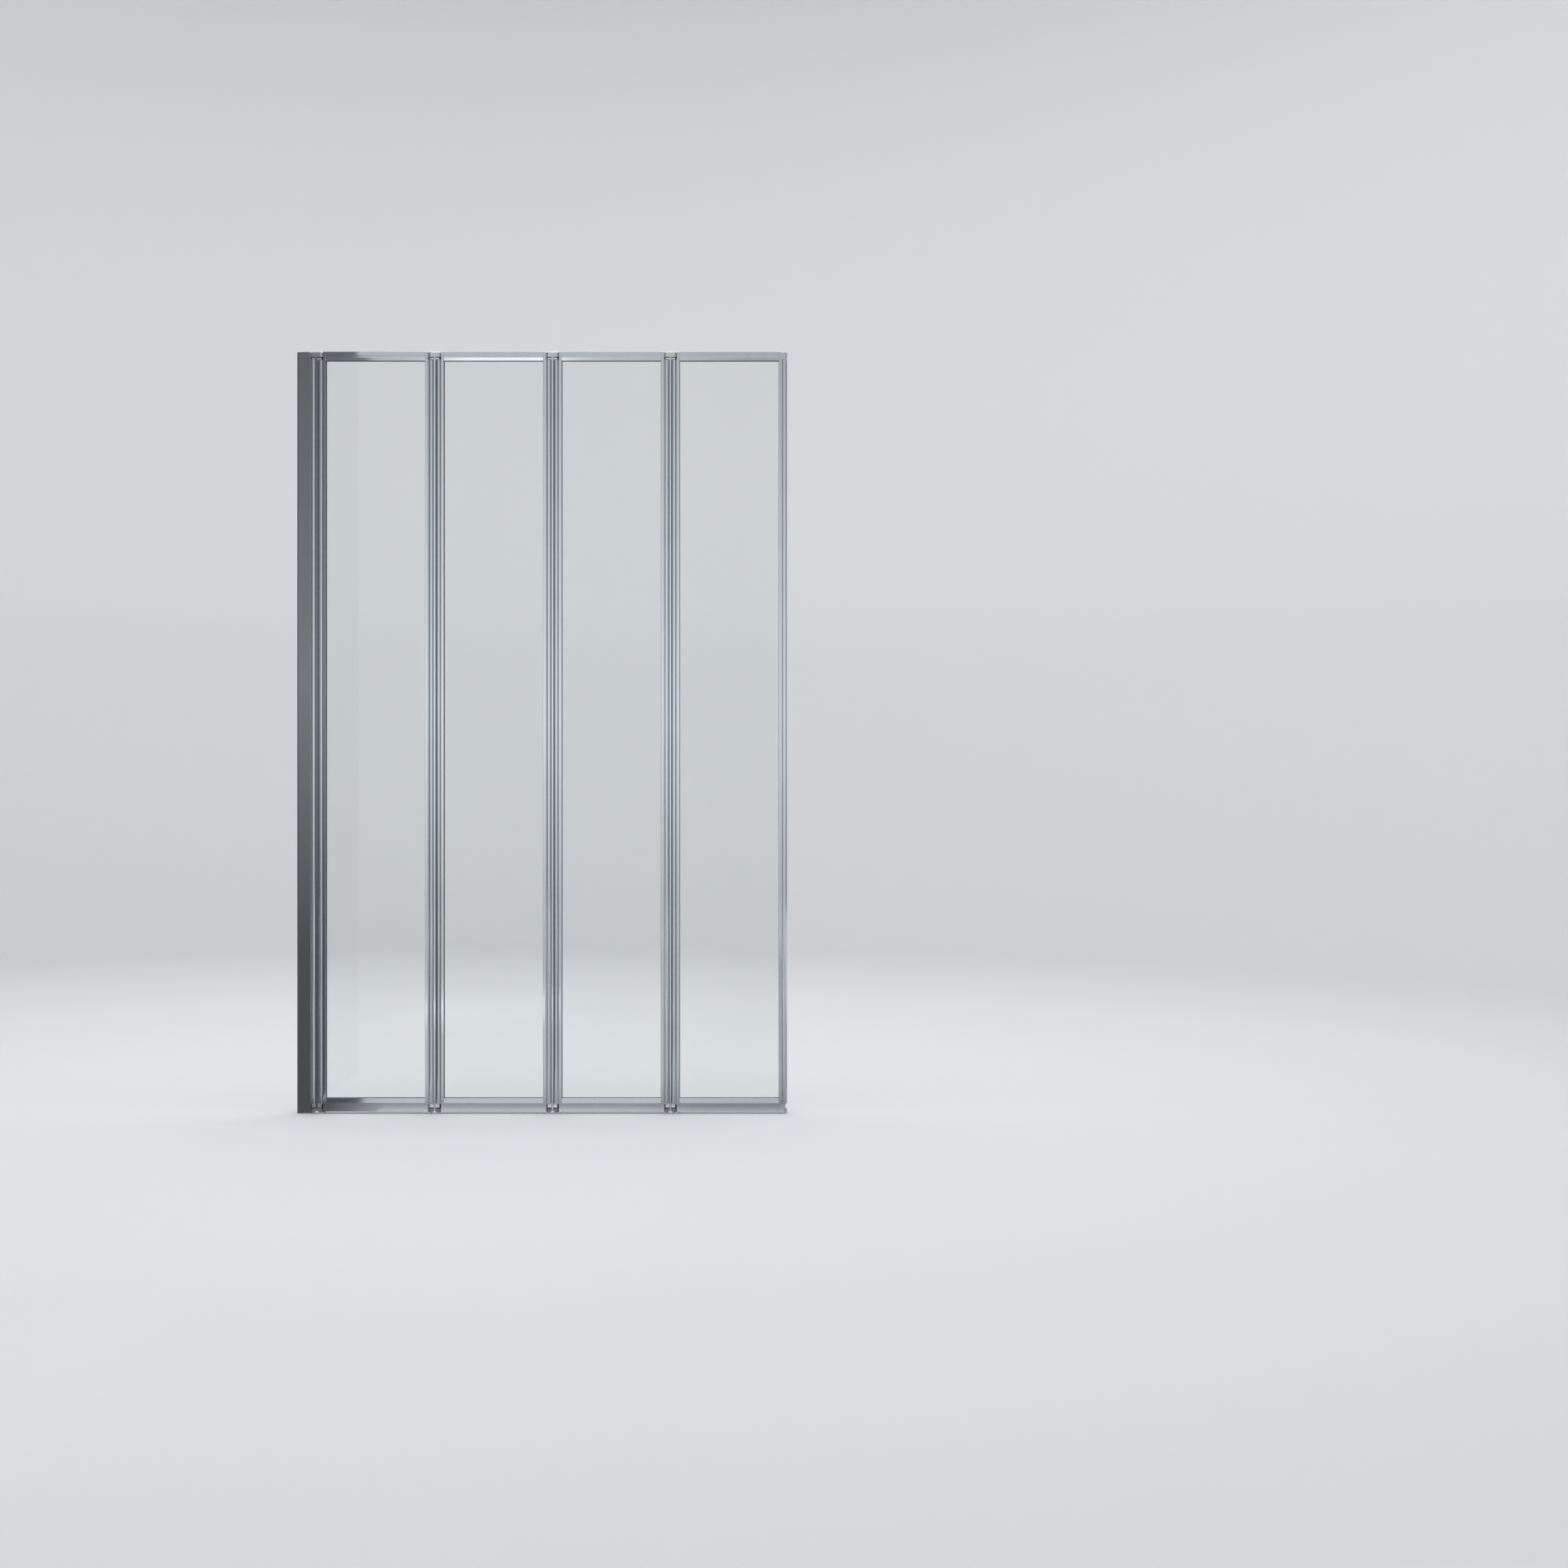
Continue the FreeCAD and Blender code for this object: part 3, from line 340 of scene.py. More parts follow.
# Jamb screws
# Stainless pan-head screws with a cross recess, cold-headed and rolled.
# They go through one side of the channel into the jamb and hold it where it was set.
JAMB_SCREW_HEIGHTS = (150 * MM, 700 * MM, 1250 * MM)
JAMB_SCREW_RADIUS = 1.75 * MM
JAMB_SCREW_HEAD = 1.4 * MM
JAMB_SCREW_TURN = 40
DOME_SHARES = ((0, 0), (0.55, 0.10), (0.82, 0.32), (0.97, 0.68), (1, 1))
RECESS_ARM_SHARE = 0.52
RECESS_HALF_SHARE = 0.13
RECESS_DEPTH_SHARE = 0.6
RECESS_OVERSHOOT = 0.2
RECESS_TAPER = 0.5
STEEL_BRIGHT = (0.68, 0.68, 0.67, 1)
STEEL_DULL = (0.50, 0.50, 0.50, 1)
bright_steel = finished_material(
    "bright_steel", drawn_lines, stretch=(1800, 1800, 1800), relief=0.002 * MM,
    colours=(STEEL_BRIGHT, STEEL_DULL), roughness=(0.16, 0.32), Metallic=1.0)


def new_screw(head_radius, head, shank_radius, length):
    """Mesh of a screw that points down, the top of its domed head at the origin."""
    tip = -head - length
    dome = [(across * head_radius, -down * head) for across, down in DOME_SHARES]
    shank = [(shank_radius, -head), (shank_radius, tip + shank_radius), (0, tip)]
    bm = bmesh.new()
    turned(bm, dome + shank, 0, steps=36)
    screw = new_piece("screw_pattern", bm, "wall", "stainless_steel", bright_steel)
    arm, half = RECESS_ARM_SHARE * head_radius, RECESS_HALF_SHARE * head_radius
    cross = [(arm, -half), (arm, half), (half, half), (half, arm), (-half, arm), (-half, half),
             (-arm, half), (-arm, -half), (-half, -half), (-half, -arm), (half, -arm), (half, -half)]
    recess = bmesh.new()
    extruded(recess, cross, -RECESS_DEPTH_SHARE * head, RECESS_OVERSHOOT * head)
    floor = [v for v in recess.verts if v.co.z < 0]
    bmesh.ops.scale(recess, verts=floor, vec=(RECESS_TAPER, RECESS_TAPER, 1))
    cut_away(screw, recess)
    mesh = screw.data
    bpy.data.objects.remove(screw)
    return mesh


def place_copies(bm, mesh, places):
    """Adds a copy of a mesh at each of these places."""
    for place in places:
        before = len(bm.verts)
        bm.from_mesh(mesh)
        bm.verts.ensure_lookup_table()
        bmesh.ops.transform(bm, matrix=place, verts=bm.verts[before:])


low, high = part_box("jamb_screws")
screw_length = high.y - JAMB_SCREW_HEAD - low.y
mesh = new_screw((high.x - low.x) / 2, JAMB_SCREW_HEAD, JAMB_SCREW_RADIUS, screw_length)
sideways = Matrix.Rotation(-math.pi / 2, 4, "X")
bm = bmesh.new()
place_copies(bm, mesh, [Matrix.Translation(((low.x + high.x) / 2, high.y, height)) @ sideways
                        @ Matrix.Rotation(height * JAMB_SCREW_TURN, 4, "Z")
                        for height in JAMB_SCREW_HEIGHTS])
new_piece("jamb_screw_set", bm, "wall", "stainless_steel", bright_steel, "jamb_screws")

# Barrel bushes
# White bearing plastic, moulded, pressed into both ends of every barrel that turns on pins.
# Only the rim of each flange shows, between a barrel and the cap or foot next to it.
HINGES = ("hinge_1", "hinge_2", "hinge_3", "hinge_4")
LEAVES = ("leaf_1", "leaf_2", "leaf_3", "leaf_4")
BUSH_LENGTH = 15 * MM
BUSH_FLANGE_RADIUS = 3.6 * MM
BUSH_EASE = 0.2 * MM
PIN_BORE = 1.55 * MM
BUSH_WHITE = (0.80, 0.81, 0.81, 1)
BUSH_SHADE = (0.72, 0.73, 0.73, 1)
bush_plastic = finished_material(
    "bush_plastic", moulded_skin, stretch=(2500, 2500, 2500), relief=0.004 * MM,
    colours=(BUSH_WHITE, BUSH_SHADE), roughness=(0.34, 0.48),
    Subsurface_Weight=0.15, Subsurface_Scale=1 * MM)


def new_bush_set(name, body, node, axes):
    """Bushes in both ends of the barrels at these axes."""
    bm = bmesh.new()
    for axis in axes:
        for end, outwards in ((barrel_low, -1), (barrel_high, 1)):
            rim, inner_end = end + outwards * BUSH_FLANGE, end - outwards * BUSH_LENGTH
            turned(bm, [(PIN_BORE, rim), (BUSH_FLANGE_RADIUS - BUSH_EASE, rim),
                        (BUSH_FLANGE_RADIUS, rim - outwards * BUSH_EASE), (BUSH_FLANGE_RADIUS, end),
                        (BUSH_RADIUS, end), (BUSH_RADIUS, inner_end), (PIN_BORE, inner_end)], axis)
    new_piece(name, bm, body, "white_bush", bush_plastic, node)


new_bush_set("jamb_bush_set", "wall", "jamb_bushes", [jamb_axis])
for count, leaf in enumerate(LEAVES, 1):
    turns = [f"{leaf}_turn"] + [f"{hinge}_turn" for hinge in HINGES[count:count + 1]]
    new_bush_set(f"{leaf}_bush_set", leaf, f"{leaf}_hinge_bushes", [axis_of[turn] for turn in turns])

# Channel cap
# Silver moulded plastic plate, pushed on to the channel's cut top.
# A spigot under it grips in the space behind the jamb.
CAP_EASE = 0.45 * MM
SPIGOT_FIT = 0.1 * MM
SILVER_LIGHT = (0.74, 0.76, 0.79, 1)
SILVER_DARK = (0.69, 0.71, 0.74, 1)
moulded_silver = finished_material(
    "moulded_silver", moulded_skin, stretch=(1500, 1500, 1500), relief=0.003 * MM,
    colours=(SILVER_LIGHT, SILVER_DARK), roughness=(0.18, 0.26),
    Metallic=0.9, Coat_Weight=0.2, Coat_Roughness=0.1)


def highest(edge):
    return max(v.co.z for v in edge.verts)


low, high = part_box("channel_cap")
channel_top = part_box("wall_channel")[1].z
jamb_low, jamb_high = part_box("wall_jamb")
spigot = rectangle(CHANNEL_BASE + SPIGOT_FIT, jamb_low.x - SPIGOT_FIT, jamb_low.y, jamb_high.y)
bm = bmesh.new()
extruded(bm, rectangle(low.x, high.x, low.y, high.y), channel_top, high.z)
ease_edges(bm, CAP_EASE, segments=4, wanted=lambda edge: highest(edge) > channel_top + CAP_EASE)
extruded(bm, spigot, low.z, channel_top + CAP_EASE)
new_piece("channel_end_cap", bm, "wall", "silver_plastic", moulded_silver, "channel_cap")

# Hinge bars
# Drawn aluminium bar between two barrels, one in each hinge, with a rubber fin on both sides against water.
# Its narrowed ends sit in slots in the hinge's cap and foot, with a tongue down the foot's notch.
BAR_EDGE = 0.25 * MM
TANG_DEPTH = 4.8 * MM
TANG_LENGTH = 4 * MM
TONGUE_HALF = 0.75 * MM
TONGUE_END = 3.0 * MM
FIN_HALF = 0.5 * MM
FIN_CLEAR = 0.07 * MM
FIN_EASE = 0.1 * MM
RUBBER_LIGHT = (0.110, 0.113, 0.118, 1)
RUBBER_DARK = (0.070, 0.072, 0.076, 1)
grey_rubber = finished_material(
    "grey_rubber", moulded_skin, stretch=(1200, 1200, 1200), relief=0.008 * MM,
    colours=(RUBBER_LIGHT, RUBBER_DARK), roughness=(0.5, 0.7))
hinge_axes = {hinge: (axis_of[f"{hinge}_turn"], axis_of[f"{leaf}_turn"])
              for hinge, leaf in zip(HINGES, LEAVES)}
hinge_middle = {hinge: sum(axes) / 2 for hinge, axes in hinge_axes.items()}
half_spacing = (hinge_axes["hinge_1"][1] - hinge_axes["hinge_1"][0]) / 2
for hinge in HINGES:
    middle = hinge_middle[hinge]
    low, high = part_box(f"{hinge}_strip")
    tang = rectangle(low.x + SPIGOT_FIT, high.x - SPIGOT_FIT, -TANG_DEPTH / 2, TANG_DEPTH / 2)
    tongue = rectangle(middle - TONGUE_HALF, middle + TONGUE_HALF, low.y + SPIGOT_FIT, high.y - SPIGOT_FIT)
    bm = bmesh.new()
    extruded(bm, rectangle(low.x, high.x, low.y, high.y), low.z + TANG_LENGTH, high.z - TANG_LENGTH)
    ease_edges(bm, BAR_EDGE)
    for start in (low.z, high.z - 2 * TANG_LENGTH):
        extruded(bm, tang, start, start + 2 * TANG_LENGTH)
    extruded(bm, tongue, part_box(f"{hinge}_foot")[0].z + TONGUE_END, low.z + 2 * TANG_LENGTH)
    new_piece(f"{hinge}_bar", bm, hinge, "polished_aluminium", upright_aluminium, f"{hinge}_strip")
    bm = bmesh.new()
    for side in (-1, 1):
        ends = sorted((middle + side * (high.x - low.x) / 4,
                       middle + side * (half_spacing - barrel_radius - FIN_CLEAR)))
        extruded(bm, rectangle(*ends, -FIN_HALF, FIN_HALF), barrel_low, barrel_high)
    ease_edges(bm, FIN_EASE)
    new_piece(f"{hinge}_fins", bm, hinge, "grey_gasket", grey_rubber)

# Hinge pins
# Drawn stainless pins with rounded tips, pressed into each hinge's cap and foot.
# They turn in the barrels' bushes, so that two leaves can fold flat on each other.
PIN_RADIUS = 1.5 * MM
PIN_TIP = 0.4 * MM
for hinge in HINGES:
    low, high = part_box(f"{hinge}_pins")
    bm = bmesh.new()
    for axis in hinge_axes[hinge]:
        for start, end in ((low.z, barrel_low + BUSH_LENGTH), (barrel_high - BUSH_LENGTH, high.z)):
            turned(bm, [(0, start), (PIN_RADIUS - PIN_TIP, start), (PIN_RADIUS, start + PIN_TIP),
                        (PIN_RADIUS, end - PIN_TIP), (PIN_RADIUS - PIN_TIP, end), (0, end)], axis, steps=24)
    new_piece(f"{hinge}_pin_set", bm, hinge, "stainless_steel", bright_steel, f"{hinge}_pins")

# Hinge caps
# Oblong silver plastic caps over the tops of both barrels, their upper rim rounded.
# A black block under each, round the pins, stands in for the shade in the gap under the cap (painted shade),
# and a bright satin neck clips round it above the barrels.
CAP_RIM = 0.9 * MM
CAP_UNDERSIDE = 0.25 * MM
UPPER_NECK = 4 * MM
NECK_REACH = 2.0 * MM
NECK_DEPTH = 4.65 * MM
NECK_EASE = 0.45 * MM
NECK_GAP = 1.6 * MM
BLOCK_RADIUS = 4.55 * MM
SATIN_LIGHT = (0.90, 0.91, 0.93, 1)
SATIN_DARK = (0.86, 0.87, 0.89, 1)
# Black plastic of the blocks: painted shade for the gaps at the hinges' caps and feet
shade_black_plastic = finished_material(
    "shade_black_plastic", moulded_skin, stretch=(1400, 1400, 1400), relief=0.008 * MM,
    colours=(SHADE_BLACK_LIGHT, SHADE_BLACK_DARK), roughness=(0.5, 0.65), Specular_IOR_Level=0.25)
satin_plastic = finished_material(
    "satin_plastic", moulded_skin, stretch=(1500, 1500, 1500), relief=0.004 * MM,
    colours=(SATIN_LIGHT, SATIN_DARK), roughness=(0.30, 0.38), Metallic=0.9)
bar_low, bar_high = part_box("hinge_1_strip")
bar_half = (bar_high.x - bar_low.x) / 2
cap_low, cap_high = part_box("hinge_1_cap")
cap_radius = (cap_high.y - cap_low.y) / 2


def lowest(edge):
    return min(v.co.z for v in edge.verts)


def half_round(bm, axis, side, radius, height, steps=24):
    """Points of half a circle about an upright axis, on the side -1 or 1 along X."""
    first = bm.verts.new((axis, -side * radius, height))
    bmesh.ops.spin(bm, geom=[first], cent=(axis, 0, height), axis=(0, 0, 1), angle=math.pi, steps=steps)
    bm.verts.ensure_lookup_table()
    return bm.verts[-steps - 1:]


def oblong(bm, middle, start, end):
    """Closed block with round ends about a hinge's two axes."""
    ring = []
    for side in (1, -1):
        ring += half_round(bm, middle + side * half_spacing, side, cap_radius, start)
    grow(bm, [bm.faces.new(ring)], end - start)


def new_neck(name, hinge, node, start, end):
    """Satin neck on both sides of a hinge's bar, clear of the turning stiles."""
    bm = bmesh.new()
    for side in (-1, 1):
        ends = sorted(hinge_middle[hinge] + side * reach for reach in (bar_half, half_spacing + NECK_REACH))
        extruded(bm, rectangle(*ends, -NECK_DEPTH, NECK_DEPTH), start, end)
    ease_edges(bm, NECK_EASE, segments=4)
    new_piece(name, bm, hinge, "silver_plastic", satin_plastic, node)


def new_shade_block(name, hinge, start, end):
    """Black block round the two pins, in two parts, beside the hinge's bar, as painted shade in the gaps
    beside the neck.
    """
    bm = bmesh.new()
    for side in (-1, 1):
        ring = half_round(bm, hinge_middle[hinge] + side * half_spacing, side, BLOCK_RADIUS, start)
        inner = hinge_middle[hinge] + side * bar_half
        ring += [bm.verts.new((inner, depth, start)) for depth in (side * BLOCK_RADIUS, -side * BLOCK_RADIUS)]
        grow(bm, [bm.faces.new(ring)], end - start)
    new_piece(name, bm, hinge, "grey_plastic", shade_black_plastic)


for hinge in HINGES:
    low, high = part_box(f"{hinge}_cap")
    cap_base = low.z + UPPER_NECK
    bm = bmesh.new()
    oblong(bm, hinge_middle[hinge], cap_base, high.z)
    ease_edges(bm, CAP_RIM, segments=5, wanted=lambda edge: lowest(edge) > cap_base + CAP_RIM)
    ease_edges(bm, CAP_UNDERSIDE, wanted=lambda edge: highest(edge) < cap_base + CAP_UNDERSIDE)
    new_piece(f"{hinge}_top_cap", bm, hinge, "silver_plastic", moulded_silver, f"{hinge}_cap")
    new_neck(f"{hinge}_upper_neck", hinge, f"{hinge}_cap", low.z, cap_base - NECK_GAP)
    # Black block that fills the gap under the cap as painted shade
    new_shade_block(f"{hinge}_upper_shade_block", hinge, low.z + SPIGOT_FIT, cap_base + CAP_UNDERSIDE)

# Hinge feet
# Dark grey moulded plastic with two round lobes, which carries the lower pins at the screen's base.
# A black block and a satin neck, the same as at the cap, hold the barrels clear of it; the black block is
# painted shade in the gap above the foot.
FOOT_HEIGHT = 7.5 * MM
FOOT_EDGE = 0.4 * MM
FOOT_ROUND = 1.8 * MM
NOTCH_HALF = 0.85 * MM
NOTCH_DEPTH = 0.9 * MM
ARCH_RADIUS = 4.4 * MM
ARCH_DROP = 1.4 * MM
FOOT_LIGHT = (0.242, 0.254, 0.274, 1)
FOOT_DARK = (0.188, 0.199, 0.217, 1)
foot_plastic = finished_material(
    "foot_plastic", moulded_skin, stretch=(1400, 1400, 1400), relief=0.012 * MM,
    colours=(FOOT_LIGHT, FOOT_DARK), roughness=(0.36, 0.55))
for hinge in HINGES:
    middle = hinge_middle[hinge]
    low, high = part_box(f"{hinge}_foot")
    foot_top = low.z + FOOT_HEIGHT
    bm = bmesh.new()
    oblong(bm, middle, low.z, foot_top)
    ease_edges(bm, FOOT_ROUND, segments=5, wanted=lambda edge: highest(edge) < low.z + FOOT_ROUND)
    ease_edges(bm, FOOT_EDGE, wanted=lambda edge: lowest(edge) > foot_top - FOOT_EDGE)
    foot = new_piece(f"{hinge}_glide_foot", bm, hinge, "grey_plastic", foot_plastic, f"{hinge}_foot")
    notches = bmesh.new()
    for side in (-1, 1):
        cutter = bmesh.ops.create_cube(notches, size=1)["verts"]
        bmesh.ops.scale(notches, verts=cutter, vec=(2 * NOTCH_HALF, 2 * NOTCH_DEPTH, 2 * FOOT_HEIGHT))
        bmesh.ops.translate(notches, verts=cutter, vec=(middle, side * cap_radius, foot_top))
    cut_away(foot, notches)
    arch = bmesh.new()
    add_drill(arch, ARCH_RADIUS, 4 * cap_radius, (middle, 0, low.z - ARCH_DROP), turn="X", segments=48)
    cut_away(foot, arch)
    new_neck(f"{hinge}_lower_neck", hinge, f"{hinge}_foot", foot_top + NECK_GAP, high.z)
    # Black block above the foot: painted shade in the gap under the neck
    new_shade_block(f"{hinge}_lower_shade_block", hinge, foot_top - FOOT_EDGE, high.z - SPIGOT_FIT)

# Glass
# Clear toughened sheet, 4 mm thick, its edges ground and polished.
# All four edges sit in the leaf's gasket, inside the frame.
GLASS_ARRIS = 0.4 * MM
GLASS_CLEAR = (0.928, 0.943, 0.941, 1)
GLASS_TINT = (0.908, 0.928, 0.925, 1)
GLASS_SHADOW = (0.88, 0.90, 0.90, 1)
UPRIGHT_PLANE = Matrix(((1, 0, 0, 0), (0, 0, 1, 0), (0, 1, 0, 0), (0, 0, 0, 1)))
toughened_glass = bpy.data.materials.new("toughened_glass")
toughened_glass.use_nodes = True
nodes, links = toughened_glass.node_tree.nodes, toughened_glass.node_tree.links
shader = nodes["Principled BSDF"]
shader.inputs["Transmission Weight"].default_value = 1.0
shader.inputs["IOR"].default_value = 1.5
place = nodes.new("ShaderNodeTexCoord").outputs["Object"]
tint = nodes.new("ShaderNodeMix")
tint.data_type = "RGBA"
tint.inputs[6].default_value, tint.inputs[7].default_value = GLASS_CLEAR, GLASS_TINT
links.new(add_noise(toughened_glass.node_tree, place, scale=4.0, detail=3.0), tint.inputs["Factor"])
links.new(tint.outputs[2], shader.inputs["Base Color"])
smears = add_noise(toughened_glass.node_tree, place, scale=14.0, detail=5.0)
haze = add_range(toughened_glass.node_tree, smears, limits=(0.45, 0.75), low=0.0, high=0.02)
links.new(haze, shader.inputs["Roughness"])
# Light that only casts a shadow goes straight through, a little dimmed
passing = nodes.new("ShaderNodeBsdfTransparent")
passing.inputs["Color"].default_value = GLASS_SHADOW
ray = nodes.new("ShaderNodeLightPath")
either = nodes.new("ShaderNodeMixShader")
links.new(ray.outputs["Is Shadow Ray"], either.inputs["Fac"])
links.new(shader.outputs["BSDF"], either.inputs[1])
links.new(passing.outputs["BSDF"], either.inputs[2])
links.new(either.outputs["Shader"], nodes["Material Output"].inputs["Surface"])
for leaf in LEAVES:
    low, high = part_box(f"{leaf}_glass")
    bm = bmesh.new()
    extruded(bm, rectangle(low.x, high.x, low.z, high.z), low.y, high.y)
    ease_edges(bm, GLASS_ARRIS)
    bmesh.ops.transform(bm, matrix=UPRIGHT_PLANE, verts=bm.verts)
    new_piece(f"{leaf}_pane", bm, leaf, "clear_glass", toughened_glass, f"{leaf}_glass")

# Gasket
# Dark grey extruded rubber channel, mitred round the glass and pressed with it into the frame.
# Its two beads show as a thin line along the inside of the frame, on both faces.
GASKET_SHOW = 0.5 * MM
GASKET_BEAD = 3.8 * MM
GASKET_ROUND = 0.2 * MM


def mitred(bm, rings):
    """Closed section that runs round an upright frame, from its rings (outline in X and Z, depth)."""
    loops = [closed_loop(bm, [(x, depth, z) for x, z in outline]) for outline, depth in rings]
    for one, two in zip(loops, loops[1:] + loops[:1]):
        bmesh.ops.bridge_loops(bm, edges=one + two)


def on_bead(edge):
    return min(abs(v.co.y) for v in edge.verts) > GASKET_BEAD - GASKET_ROUND


for leaf in LEAVES:
    low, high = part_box(f"{leaf}_gasket")
    glass_low, glass_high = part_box(f"{leaf}_glass")
    left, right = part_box(f"{leaf}_left_stile")[1].x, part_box(f"{leaf}_right_stile")[0].x
    base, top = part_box(f"{leaf}_bottom_rail")[1].z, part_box(f"{leaf}_top_rail")[0].z
    outside = rectangle(low.x, high.x, low.z, high.z)
    opening = rectangle(left, right, base, top)
    inside = rectangle(left + GASKET_SHOW, right - GASKET_SHOW, base + GASKET_SHOW, top - GASKET_SHOW)
    pane = rectangle(glass_low.x, glass_high.x, glass_low.z, glass_high.z)
    bm = bmesh.new()
    mitred(bm, [(outside, low.y), (opening, low.y), (opening, -GASKET_BEAD), (inside, -GASKET_BEAD),
                (inside, glass_low.y), (pane, glass_low.y), (pane, glass_high.y), (inside, glass_high.y),
                (inside, GASKET_BEAD), (opening, GASKET_BEAD), (opening, high.y), (outside, high.y)])
    ease_edges(bm, GASKET_ROUND, wanted=on_bead)
    new_piece(f"{leaf}_gasket_ring", bm, leaf, "grey_gasket", grey_rubber, f"{leaf}_gasket")

# Stiles
# Drawn aluminium uprights, bright polished, one at each side of a leaf.
# Each is a channel for the glass with a hinge barrel on its outer edge, milled away at both ends.
STILE_FLOOR = 2.0 * MM
FRAME_EDGE = 0.35 * MM
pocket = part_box("leaf_1_gasket")[1].y
for leaf in LEAVES:
    for side, towards in (("left", 1), ("right", -1)):
        low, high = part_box(f"{leaf}_{side}_stile")
        outer_edge, inner_edge = (low.x, high.x) if side == "left" else (high.x, low.x)
        axis = outer_edge + towards * barrel_radius
        edge = axis + towards * (barrel_radius + BARREL_STANDOFF)
        floor = edge + towards * STILE_FLOOR
        bm = bmesh.new()
        extruded(bm, [(edge, low.y), (inner_edge, low.y), (inner_edge, -pocket), (floor, -pocket),
                      (floor, pocket), (inner_edge, pocket), (inner_edge, high.y), (edge, high.y)],
                 low.z, high.z)
        ease_edges(bm, FRAME_EDGE)
        add_barrel(bm, axis, towards)
        new_piece(f"{leaf}_{side}_upright", bm, leaf, "polished_aluminium", upright_aluminium,
                  f"{leaf}_{side}_stile")

# Top rails
# Drawn aluminium rails, bright polished, with a fine groove and a bevel down to the glass on both faces.
# Their core runs on into the stiles, where the corner screws hold it.
RAIL_EASE = 0.2 * MM
RAIL_LIP = 1.1 * MM
TOP_POCKET = 7 * MM
TOP_BEVEL = 5.4 * MM
TOP_FLAT = 2.2 * MM
GROOVE = 1.2 * MM
GROOVE_DEPTH = 1.3 * MM
LYING = Matrix(((0, 0, 1, 0), (1, 0, 0, 0), (0, 1, 0, 0), (0, 0, 0, 1)))
rail_aluminium = finished_material(
    "rail_aluminium", drawn_lines, stretch=(3, 700, 700), relief=0.0015 * MM,
    colours=(BRIGHT_ALUMINIUM, DULL_ALUMINIUM), roughness=(0.05, 0.13), Metallic=1.0)


def both_faces(half):
    """Outline that is the same on both faces, from the points (depth, height) of one of them."""
    return half + [(-depth, height) for depth, height in reversed(half)]


def new_rail(name, leaf, node, half, core_low, core_high):
    """Rail between a leaf's two stiles, with a core that runs on into them."""
    left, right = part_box(f"{leaf}_left_stile")[1].x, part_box(f"{leaf}_right_stile")[0].x
    low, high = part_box(node)
    bm = bmesh.new()
    extruded(bm, both_faces(half), left, right)
    ease_edges(bm, RAIL_EASE)
    for start, end in ((low.x, left + RAIL_EASE), (right - RAIL_EASE, high.x)):
        extruded(bm, rectangle(-pocket, pocket, core_low, core_high), start, end)
    bmesh.ops.transform(bm, matrix=LYING, verts=bm.verts)
    new_piece(name, bm, leaf, "polished_aluminium", rail_aluminium, node)


for leaf in LEAVES:
    low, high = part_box(f"{leaf}_top_rail")
    face, groove_floor = high.y, high.y - GROOVE_DEPTH
    bevel_top = low.z + TOP_BEVEL
    groove_base = bevel_top + TOP_FLAT
    groove_top = groove_base + GROOVE
    pocket_top = low.z + TOP_POCKET
    half = [(face, high.z), (face, groove_top), (groove_floor, groove_top), (groove_floor, groove_base),
            (face, groove_base), (face, bevel_top), (pocket + RAIL_LIP, low.z), (pocket, low.z),
            (pocket, pocket_top)]
    new_rail(f"{leaf}_upper_rail", leaf, f"{leaf}_top_rail", half, pocket_top, high.z)

# Bottom rails
# The same drawn aluminium in a taller section, with a bevel up to the glass and a groove under it.
# A slot in the underside takes the seal.
BOTTOM_POCKET = 9 * MM
BOTTOM_BEVEL = 8.2 * MM
SLOT_HALF = 2.4 * MM
SLOT_MOUTH_HALF = 1.5 * MM
SLOT_LIP = 1.2 * MM
SLOT_DEPTH = 3.2 * MM
RAIL_WALL = 1.2 * MM
for leaf in LEAVES:
    low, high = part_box(f"{leaf}_bottom_rail")
    face, groove_floor = high.y, high.y - GROOVE_DEPTH
    groove_top = high.z - BOTTOM_BEVEL
    groove_base = groove_top - GROOVE
    pocket_base = high.z - BOTTOM_POCKET
    slot_lip, slot_top = low.z + SLOT_LIP, low.z + SLOT_DEPTH
    half = [(SLOT_HALF, slot_top), (SLOT_HALF, slot_lip), (SLOT_MOUTH_HALF, slot_lip),
            (SLOT_MOUTH_HALF, low.z), (face, low.z), (face, groove_base), (groove_floor, groove_base),
            (groove_floor, groove_top), (face, groove_top), (pocket + RAIL_LIP, high.z), (pocket, high.z),
            (pocket, pocket_base)]
    new_rail(f"{leaf}_lower_rail", leaf, f"{leaf}_bottom_rail", half, slot_top + RAIL_WALL, pocket_base)

